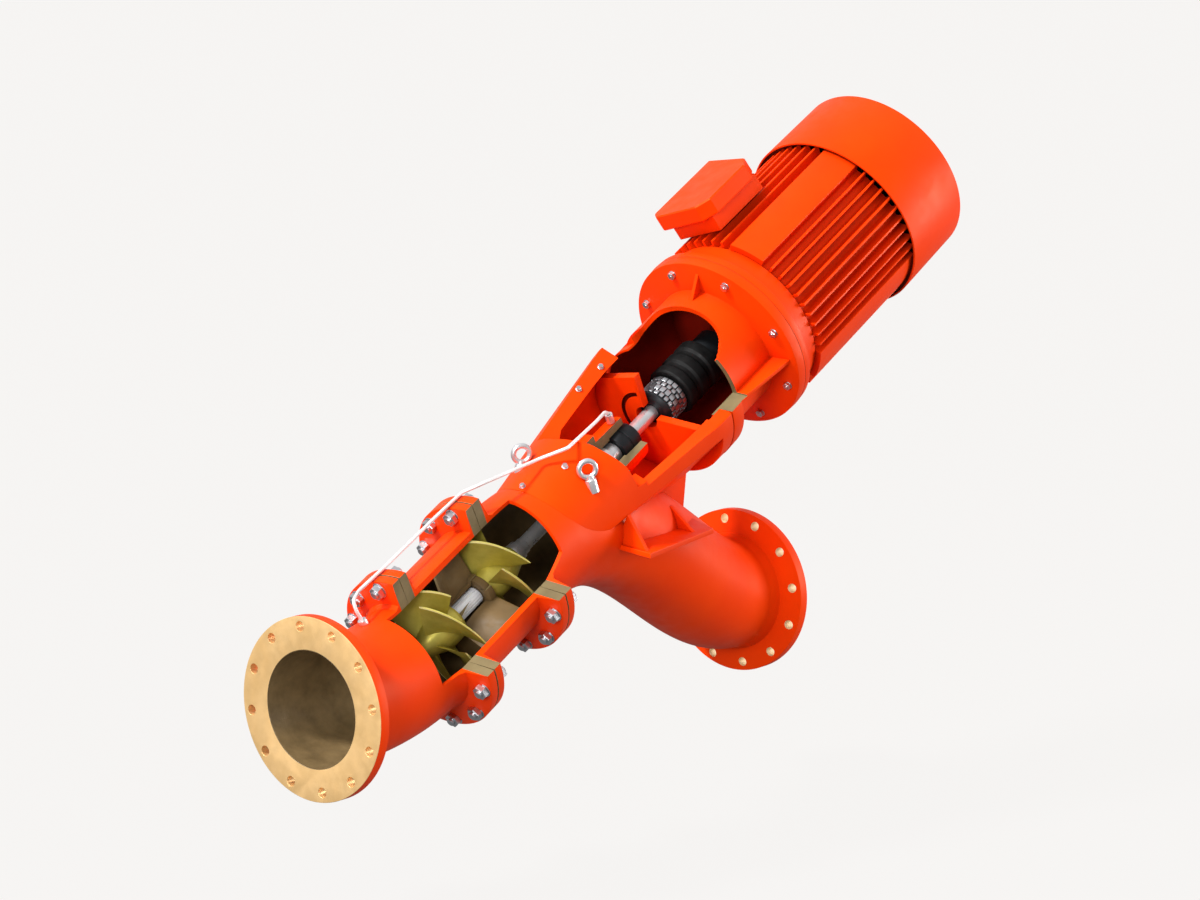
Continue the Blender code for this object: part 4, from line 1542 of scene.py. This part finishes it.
@dataclass
class Motor(Assembly):
    """The flange motor with its fins, cowl and terminal box."""

    flange_radius: float = 227.0
    flange_end: float = 1297.0
    shield_radius: float = 205.0
    fin_start: float = 1352.0
    fin_root: float = 196.0
    fin_tip: float = 219.0
    fins: int = 48
    pad_middles: tuple[int, ...] = (5, 18, 29, 42)
    box_angle: float = -22.5
    box_top: float = 262.0
    lid_top: float = 303.0
    cowl_start: float = 1742.0
    cowl_end: float = 1956.0
    cowl_radius: float = 231.0
    cowl_overlap: float = 14.0
    lip_depth: float = 6.0
    sheet: float = 4.0

    def build(self) -> None:
        """Builds and dresses every piece."""
        self.end_shield()
        self.finned_frame()
        self.cowl()
        self.grille()
        self.box()

    def end_shield(self) -> None:
        """The flanged shield at the motor's drive end, its front face painted shade."""
        start, end = MOTOR_FACE + HALF_GAP, self.fin_start - GAP
        profile = [
            (start, self.flange_radius, 0.6), (self.flange_end, self.flange_radius, 2.0),
            (self.flange_end, self.shield_radius, 6.0), (end, self.shield_radius, 2.0), (end, 40),
            (start, 40, 0.0, Zone.BORE),
        ]
        self.casting(
            "motor_end_shield_casting", ["motor_end_shield"], Form().turn(profile, segments=LARGE),
            inside=self.palette.shade,
        )

    def finned_frame(self) -> None:
        """The finned motor frame, with smooth strips where pads close the gaps between fins."""
        tip, root = self.fin_tip, self.fin_root
        fin = [(-0.1, tip - 1.5), (-0.06, tip), (0.06, tip), (0.1, tip - 1.5)]
        gap = [(0.13, root + 3.0), (0.2, root), (0.5, root), (0.8, root), (0.87, root + 3.0)]
        pad = [(part, tip) for part in spread(0.14, 0.86, 6)]
        pads = [k for middle in self.pad_middles for k in (middle - 1, middle, middle + 1)]
        outline = []
        for k in range(self.fins):
            stations = fin[:3] + pad if k in pads else fin + gap
            if (k - 1) % self.fins in pads:
                stations = stations[1:]
            for offset, radius in stations:
                outline.append(polar(radius, 2 * math.pi * (k + offset) / self.fins))
        form = Form().prism(outline, self.fin_start, self.cowl_start + self.cowl_overlap)
        self.casting("motor_frame_casting", ["motor_frame"], form, about_shaft(self.box_angle))

    def cowl(self) -> None:
        """The sheet-metal fan cowl, with a lip that rests round the fins and painted shade on the
        inner faces of its front rim.
        """
        radius, start, end = self.cowl_radius, self.cowl_start, self.cowl_end
        inner, lip = radius - self.sheet, self.fin_tip + 1
        lip_end = start + self.cowl_overlap
        lip_start = lip_end - self.lip_depth
        profile = [
            (start, radius, 1.0), (end, radius, 4.0), (end, 40, 1.0),
            (end - self.sheet, 40, 1.0),
            (end - self.sheet, inner, 2.0), (lip_end, inner), (lip_end, lip),
            (lip_start, lip, 0.0, Zone.BORE), (lip_start, inner, 0.0, Zone.BORE), (start, inner),
        ]
        self.casting(
            "fan_cowl_pressing", ["fan_cowl"], Form().turn(profile, segments=LARGE),
            inside=self.palette.shade,
        )

    def grille(self) -> None:
        """The cowl's air inlet: rings and two bars in its end, over a dark disc that stands for the
        shade inside the cowl.
        """
        form, end = Form(), self.cowl_end - 1.0
        for radius in spread(14.0, 38.0, 4):
            outer, inner = radius + 1.5, radius - 1.5
            wire = [(end - 3, outer), (end, outer), (end, inner), (end - 3, inner)]
            form.turn(wire, along_z, MEDIUM)
        for turn in (0.0, 90.0):
            form.box((-42, -2, end - 2.5), (42, 2, end - 0.5), 0.3, about_z(turn))
        self.casting("fan_cowl_grille", [], form)
        # Painted shade: a blackened disc fills the cowl's inside behind the grille.
        end, radius = self.cowl_end - 8.0, self.cowl_radius - 12
        disc = Form().turn([(end - 3, radius, 1.0), (end, radius)], hollow=False)
        self.plain("cowl_shade_disc", [], disc, self.palette.dark, Slot.DARK)

    def box(self) -> None:
        """The terminal box and its lid."""
        place = about_shaft(self.box_angle) @ TOP_ON
        corners = [(-78, 1375, 6), (78, 1375, 6), (78, 1560, 6), (-78, 1560, 6)]
        outline, _ = round_profile(corners, True, 8)
        box = Form().prism(outline, self.fin_tip + GAP, self.box_top, 1.0)
        self.casting("terminal_box_casting", ["terminal_box"], box, place)
        corners = [
            (-98, 1372, 3), (-76, 1353, 3), (68, 1353, 3), (98, 1383, 3), (98, 1524, 3),
            (64, 1564, 3), (-98, 1602, 3),
        ]
        outline, _ = round_profile(corners, True, 4)
        lid = Form().prism(outline, self.box_top + GAP, self.lid_top, 3.0)
        self.casting("terminal_box_lid_casting", ["terminal_box_lid"], lid, place)


@dataclass
class Fittings(Assembly):
    """Eyebolts, the flush line and the fasteners."""

    ring_radius: float = 18.5
    ring_thick: float = 6.0
    ring_height: float = 31.0
    ring_turn: float = -38.0
    line_radius: float = 4.0
    line_bend: float = 9.0
    line_route: tuple[tuple[float, float, float], ...] = (
        (86, -10, 862), (98, -8, 852), (113, 9, 804), (163, 55, 657), (153, 3, 611),
        (177, -8, 532), (203, -12, 460), (197, -49, 417), (195, -55, 336), (194, -59, 158),
        (192, -66, 79), (198, -50, 44), (180, -42, 36), (150, -34, 36),
    )
    motor_screws: int = 8
    motor_screw_circle: float = 199.0
    nut: Hexagon = Hexagon()
    motor_screw: Hexagon = Hexagon(17.0, 8.0, 10.5, 5.0, 1.5)
    frame_screw: Hexagon = Hexagon(11.0, 5.0, 7.5, 3.0, 0.0)
    rim_screws: tuple[float, ...] = (869.0, 954.0)
    rim_side: float = -136.0
    foot_screws: tuple[tuple[float, float], ...] = ((-1.0, 547.0), (22.0, 635.0))
    foot_sink: float = 0.5

    def build(self) -> None:
        """Builds and dresses every piece."""
        self.eyebolt("eyebolt_near", 646.0, 50.0, 20.0)
        self.eyebolt("eyebolt_far", 603.0, -24.0, 0.0)
        self.flush_line()
        self.joint_fasteners("suction_joint", SUCTION_JOINT)
        self.joint_fasteners("casing_joint", CASING_JOINT)
        self.motor_flange_screws()
        self.frame_screws()

    def eyebolt(self, node: str, distance: float, angle: float, lean: float) -> None:
        """A lifting eye standing on the frame's skin.

        Args:
            node: the node it stands for.
            distance: its place along the shaft.
            angle: its turn about the shaft.
            lean: how far it leans back, in degrees.
        """
        seat = SHAFT @ polar(skin_radius(distance), math.radians(angle), distance)
        stand = about_z(self.ring_turn) @ Matrix.Rotation(math.radians(-lean), 4, "Y")
        place = Matrix.Translation(seat) @ stand @ Matrix.Scale(MM, 4)
        profile = [(-24, 13), (6, 13, 1.0), (8, 10, 1.0), (16, 9)]
        shank = Form().turn(profile, along_z, SMALL, hollow=False)
        eye = shank.finish(f"{node}_forging", place, self.palette.plain(self.palette.steel))
        loops = []
        for out in circle(1.0, SMALL):
            outward = Vector((out.x, 0.0, out.y))
            loops.append([
                outward * (self.ring_radius + p.x) + Vector((0.0, p.y, self.ring_height))
                for p in circle(self.ring_thick, 20)
            ])
        ring = tool(Form().loft(loops, closed=True), f"{node}_ring_form", place)
        carve(eye, [ring], union=True)
        carve(eye, [frame_skin_tool()])
        settle(eye, self.body, [node])

    def flush_line(self) -> None:
        """The thin pipe from the suction side to the seal, with its fitting and its clip."""
        route = rounded_route([Vector(point) for point in self.line_route], self.line_bend)
        pipe, steel, bore = self.palette.pipe, self.palette.steel, self.line_radius + GAP
        line = Form().tube(route, self.line_radius, 20)
        self.plain("flush_line_pipe", ["flush_line"], line, pipe)
        nut = [(60.6, 9, 0.8), (84, 9, 0.8), (84, bore), (60.6, bore)]
        union = Form().turn(nut, along_z, SMALL)
        place = SHAFT @ Matrix.Translation((0, -10, 862)) @ TOP_ON
        self.plain("flush_fitting_union", ["flush_fitting"], union, steel, place=place)
        boss = Form().turn([(100, 10), (160, 10, 1.0), (160, bore), (100, bore)], along_z, SMALL)
        place = about_shaft(-12.8) @ Matrix.Translation((0, 0, 36)) @ TOP_ON
        core = SUCTION_PATH.core(PIPE_OUTER + GAP, SUCTION_STEPS)
        skin = turned_tool("suction_skin_tool", core, PIPE, Zone.SKIN, SUCTION_PATH)
        self.plain("flush_clip_boss", ["flush_clip"], boss, steel, place=place, cuts=[skin])

    def joint_fasteners(self, name: str, joint: float) -> None:
        """Studs, nuts and washers round a bolted joint, less those in the cut quarter.

        Args:
            name: the joint's name.
            joint: its place along the shaft.
        """
        seats = []
        for k in range(BOLTS):
            angle = 360.0 * (k + 0.5) / BOLTS
            if angle > 90:
                for side, turn in ((-1, math.pi), (1, 0.0)):
                    seat = Matrix.Translation((BOLT_CIRCLE, 0, joint + side * JOINT_FLANGE))
                    seats.append(about_z(angle) @ seat @ Matrix.Rotation(turn, 4, "X"))
        self.fasteners(f"{name}_fasteners", self.nut, seats)

    def motor_flange_screws(self) -> None:
        """The screws that hold the motor's flange on the lantern."""
        seat = Matrix.Translation((self.motor_screw_circle, 0, LANTERN_FLANGE))
        seat = seat @ Matrix.Rotation(math.pi, 4, "X")
        turns = [360.0 * (k + 0.5) / self.motor_screws for k in range(self.motor_screws)]
        seats = [about_z(turn) @ seat for turn in turns]
        self.fasteners("motor_flange_fasteners", self.motor_screw, seats)

    def frame_screws(self) -> None:
        """Small screws on the far rim of the frame's opening and at its foot."""
        outward = Matrix.Rotation(math.pi / 2, 4, "Y")
        seats = []
        for z in self.rim_screws:
            rim = Matrix.Translation((OPENING_HEIGHT, self.rim_side, z))
            seats.append(about_z(OPENING_ANGLE) @ rim @ outward)
        for degrees, z in self.foot_screws:
            foot = Matrix.Translation((skin_radius(z) - self.foot_sink, 0, z))
            seats.append(about_z(degrees) @ foot @ outward)
        self.fasteners("frame_screws", self.frame_screw, seats)

    def fasteners(self, name: str, kind: Hexagon, seats: Sequence[Matrix]) -> None:
        """Puts a fastener on every seat, as one piece.

        Args:
            name: the piece's name.
            kind: the fastener.
            seats: where each stands, along z on the matrix's origin.
        """
        form = Form()
        for seat in seats:
            kind.build(form, seat)
        self.plain(name, [], form, self.palette.zinc)


def rounded_route(points: Sequence[Vector], reach: float, steps: int = 6) -> list[Vector]:
    """Rounds each bend of a route.

    Args:
        points: the route's corners.
        reach: how far a rounding reaches to both sides.
        steps: points on each rounding.

    Returns:
        The route's points.
    """
    route = [points[0]]
    for before, here, after in zip(points, points[1:], points[2:]):
        short = min(reach, (here - before).length * 0.45, (after - here).length * 0.45)
        start = here + (before - here).normalized() * short
        end = here + (after - here).normalized() * short
        for t in spread(0.0, 1.0, steps):
            route.append((1 - t) ** 2 * start + 2 * t * (1 - t) * here + t * t * end)
    route.append(points[-1])
    return route


@dataclass
class Rotor(Assembly):
    """The shaft with the impellers, sleeves, collars and the coupling."""

    body: ClassVar[Body] = Body.ROTOR
    bore: float = SHAFT_RADIUS + GAP
    tip_radius: float = 119.5
    root_radius: float = 28.0
    root_thick: float = 8.0
    tip_thick: float = 8.5
    blades: int = 5
    pitch: float = 0.71
    blade_length: float = 64.0
    teeth: int = 18
    keys: int = 22

    def build(self) -> None:
        """Builds and dresses every piece."""
        self.impeller(
            "impeller_first",
            [
                (117, 5), (120, 14), (130, 22), (153, 32), (172, 41), (195, 45), (226, 45, 1.0),
                (234, 40, 1.0),
            ],
            146.0, 10.0, 149.5,
        )
        self.impeller(
            "impeller_second",
            [(340, 36, 1.0), (350, 38), (365, 45), (405, 45), (425, 37), (450, 28, 1.0)],
            342.0, 46.0, 330.0,
        )
        self.shafts()
        self.sleeve()
        self.collars()
        self.coupling()

    def impeller(self, node: str, hub: Corners, start: float, angle: float, bore: float) -> None:
        """One cast impeller.

        Args:
            node: the node it stands for.
            hub: the hub's profile.
            start: where its blade tips start along the shaft.
            angle: turn of the first blade there, in degrees.
            bore: where its bore starts.
        """
        casting = Form().turn(hub, hollow=False).finish(
            f"{node}_casting", SHAFT, self.palette.plain(self.palette.impeller)
        )
        # Painted highlight: the blade tips' band takes the near-white tip finish.
        casting.data.materials[Zone.FACED] = self.palette.tip
        form = Form()
        for k in range(self.blades):
            first = angle + 360.0 * k / self.blades
            stations = [
                (start + along, math.radians(first + along / self.pitch))
                for along in spread(0.0, self.blade_length, 26)
            ]
            foil(
                form, self.root_radius, self.tip_radius, stations, self.root_thick, self.tip_thick
            )
        carve(casting, [form.finish(f"{node}_blades", SHAFT, [None] * len(Zone))], union=True)
        carve(casting, [drill_tool(f"{node}_drill", self.bore, bore, 470)])
        settle(casting, self.body, [node])

    def shafts(self) -> None:
        """The pump's and the motor's shafts."""
        for node, profile in (
            ("pump_shaft", [(150, 15), (152, SHAFT_RADIUS), (1056, SHAFT_RADIUS)]),
            ("motor_shaft", [(1150, 24), (1351, 24)]),
        ):
            bar = Form().turn(profile, along_z, MEDIUM, hollow=False)
            self.plain(f"{node}_bar", [node], bar, self.palette.steel)

    def sleeve(self) -> None:
        """The splined sleeve between the impellers."""
        outline = []
        for k in range(self.teeth):
            for offset, radius in ((-0.3, 18.6), (-0.2, 20.0), (0.2, 20.0), (0.3, 18.6)):
                outline.append(polar(radius, 2 * math.pi * (k + offset) / self.teeth))
        self.plain(
            "spacer_sleeve_splined", ["spacer_sleeve"], Form().prism(outline, 234.3, 319.0, 0.8),
            self.palette.sleeve, cuts=[drill_tool("sleeve_drill", self.bore, 230, 330)],
        )

    def collars(self) -> None:
        """The nut behind the impellers and the collar at the seal."""
        nut = [
            (450.3, 26, 0.8), (474, 24, 1.0), (474, 19, 1.0), (492, 19, 1.0), (492, self.bore),
            (450.3, self.bore),
        ]
        self.plain("impeller_nut_turned", ["impeller_nut"], Form().turn(nut), self.palette.steel)
        collar = [
            (835, 36, 2.5), (862, 36, 0.5), (862, 34.5, 0.5), (866, 34.5, 0.5), (866, 36, 0.5),
            (897, 36, 2.5), (897, self.bore), (835, self.bore),
        ]
        self.plain(
            "shaft_collar_ring", ["shaft_collar"], Form().turn(collar), self.palette.dark, Slot.DARK
        )

    def coupling(self) -> None:
        """The two hubs, the keys on the pump's one and the ribbed rubber element."""
        hub = [(985, 38, 2.0), (994, 48, 2.0), (1056, 48, 1.5), (1056, self.bore), (985, self.bore)]
        self.plain(
            "coupling_hub_pump_turned", ["coupling_hub_pump"], Form().turn(hub), self.palette.dark,
            Slot.DARK,
        )
        self.hub_keys()
        ridge, groove = 62, 55
        element = [
            (1056.3, 58, 3.0), (1062, ridge, 2.0), (1084, ridge, 3.0), (1088, groove, 2.0),
            (1100, groove, 2.0), (1104, ridge, 3.0), (1130, ridge, 3.0), (1134, groove, 2.0),
            (1146, groove, 2.0), (1150, ridge, 3.0), (1180, ridge, 3.0), (1180, 27), (1056.3, 27),
        ]
        self.plain(
            "coupling_element_moulded", ["coupling_element"], Form().turn(element),
            self.palette.rubber, Slot.RUBBER,
        )
        hub = [(1180.3, 48, 2.0), (1240, 48, 2.0), (1240, 24.3), (1180.3, 24.3)]
        self.plain(
            "coupling_hub_motor_turned", ["coupling_hub_motor"], Form().turn(hub),
            self.palette.dark, Slot.DARK,
        )

    def hub_keys(self) -> None:
        """Bright keys in four staggered rows all round the pump side's hub."""
        form = Form()
        for row, (low, high) in enumerate(((998, 1009), (1011, 1026), (1028, 1038), (1040, 1052))):
            odd = row % 2
            for k in range(self.keys):
                turn = about_z(360.0 * (k + 0.5 * odd) / self.keys)
                form.box((45, -4.6 - odd, low), (50, 4.6 + odd, high), 0.8, turn)
        self.plain("coupling_hub_pump_keys", [], form, self.palette.zinc)


# Studio


@dataclass
class Studio:
    """Floor, lights and camera."""

    camera_place: Vector = Vector((-4.72862, -4.4204, 2.33129))
    camera_view: Vector = Vector((0.76392, 0.60028, -0.23684))
    camera_up: Vector = Vector((0.13739, 0.2073, 0.96858))
    lens: float = 98.43
    sensor: float = 36.0
    floor_drop: float = 0.3
    floor_size: float = 60.0
    floor_colour: Colour = (0.012, 0.012, 0.012)
    floor_glow: Colour = (0.905, 0.89, 0.875)
    sky_greys: tuple[tuple[float, float], ...] = (
        (0.3, 0.2), (0.48, 0.42), (0.52, 0.52), (0.95, 0.62)
    )
    sun_direction: Vector = Vector((-0.62, 0.32, 0.72))
    sun_strength: float = 4.0
    sun_angle: float = 9.0
    middle: Vector = Vector((1.0, 0.0, 0.6))

    def build(self) -> None:
        """Sets up the studio."""
        self.camera()
        self.floor()
        self.sky()
        self.lights()
        bpy.context.scene.view_settings.view_transform = "Standard"

    def camera(self) -> None:
        """The camera at the photograph's viewing angle."""
        data = bpy.data.cameras.new("camera")
        data.lens, data.sensor_width, data.sensor_fit = self.lens, self.sensor, "HORIZONTAL"
        data.clip_end = 100.0
        camera = put_in_scene("camera", data)
        back = -self.camera_view.normalized()
        right = self.camera_up.cross(back).normalized()
        turn = Matrix((right, back.cross(right), back)).transposed().to_4x4()
        camera.matrix_world = Matrix.Translation(self.camera_place) @ turn
        bpy.context.scene.camera = camera

    def floor(self) -> None:
        """A plain pale floor below the pump that glows like a light table."""
        low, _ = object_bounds()
        height, half = low[2] - self.floor_drop, self.floor_size / 2
        mesh = bpy.data.meshes.new("floor")
        signs = ((-1, -1), (1, -1), (1, 1), (-1, 1))
        corners = [(x * half, y * half, height) for x, y in signs]
        mesh.from_pydata(corners, [], [(0, 1, 2, 3)])
        floor = put_in_scene("floor", mesh)
        paper = Recipe("floor_paper").dress(
            Base_Color=(*self.floor_colour, 1.0), Roughness=0.95, Specular_IOR_Level=0.0,
            Emission_Color=(*self.floor_glow, 1.0), Emission_Strength=1.0,
        )
        mesh.materials.append(paper)
        floor.visible_diffuse = False
        floor.visible_glossy = False
        floor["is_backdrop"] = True

    def sky(self) -> None:
        """Pale soft light from above that falls off towards the ground."""
        world = bpy.data.worlds.new("studio")
        world.use_nodes = True
        nodes, links = world.node_tree.nodes, world.node_tree.links
        place = nodes.new("ShaderNodeTexCoord").outputs["Generated"]
        split = nodes.new("ShaderNodeSeparateXYZ")
        links.new(place, split.inputs[0])
        span = nodes.new("ShaderNodeMapRange")
        span.inputs["From Min"].default_value = -1.0
        links.new(split.outputs["Z"], span.inputs["Value"])
        ramp = nodes.new("ShaderNodeValToRGB")
        fill_ramp(ramp.color_ramp, [(where, (grey, grey, grey)) for where, grey in self.sky_greys])
        links.new(span.outputs["Result"], ramp.inputs["Fac"])
        links.new(ramp.outputs["Color"], nodes["Background"].inputs["Color"])
        bpy.context.scene.world = world

    def lights(self) -> None:
        """A soft sun from the upper left and large soft lights round the pump."""
        data = bpy.data.lights.new("key_sun", "SUN")
        data.energy, data.angle = self.sun_strength, math.radians(self.sun_angle)
        sun = put_in_scene("key_sun", data)
        sun.rotation_euler = self.sun_direction.to_track_quat("Z", "Y").to_euler()
        self.area("rim_light", Vector((4.0, -2.6, 1.2)), 1.6, 90.0)
        self.area("front_light", Vector((-3.6, -1.6, 1.6)), 1.4, 110.0)

    def area(self, name: str, place: Vector, size: float, power: float) -> None:
        """A square light that faces the pump's middle.

        Args:
            name: the light's name.
            place: where it stands.
            size: its side.
            power: its power in watts.
        """
        data = bpy.data.lights.new(name, "AREA")
        data.size, data.energy = size, power
        light = put_in_scene(name, data)
        light.rotation_euler = (place - self.middle).to_track_quat("Z", "Y").to_euler()
        light.location = place


def main() -> None:
    """Builds the studio and the pump."""
    logging.basicConfig(level=logging.INFO, format="%(name)s: %(message)s")
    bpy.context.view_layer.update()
    Studio().build()
    palette, cutaway = Palette(), Cutaway()
    for assembly in (WetEnd, Discharge, DryFrame, Motor, Fittings, Rotor):
        assembly(palette, cutaway).build()
        LOG.info("%s built", assembly.__name__)


if __name__ == "__main__":
    main()
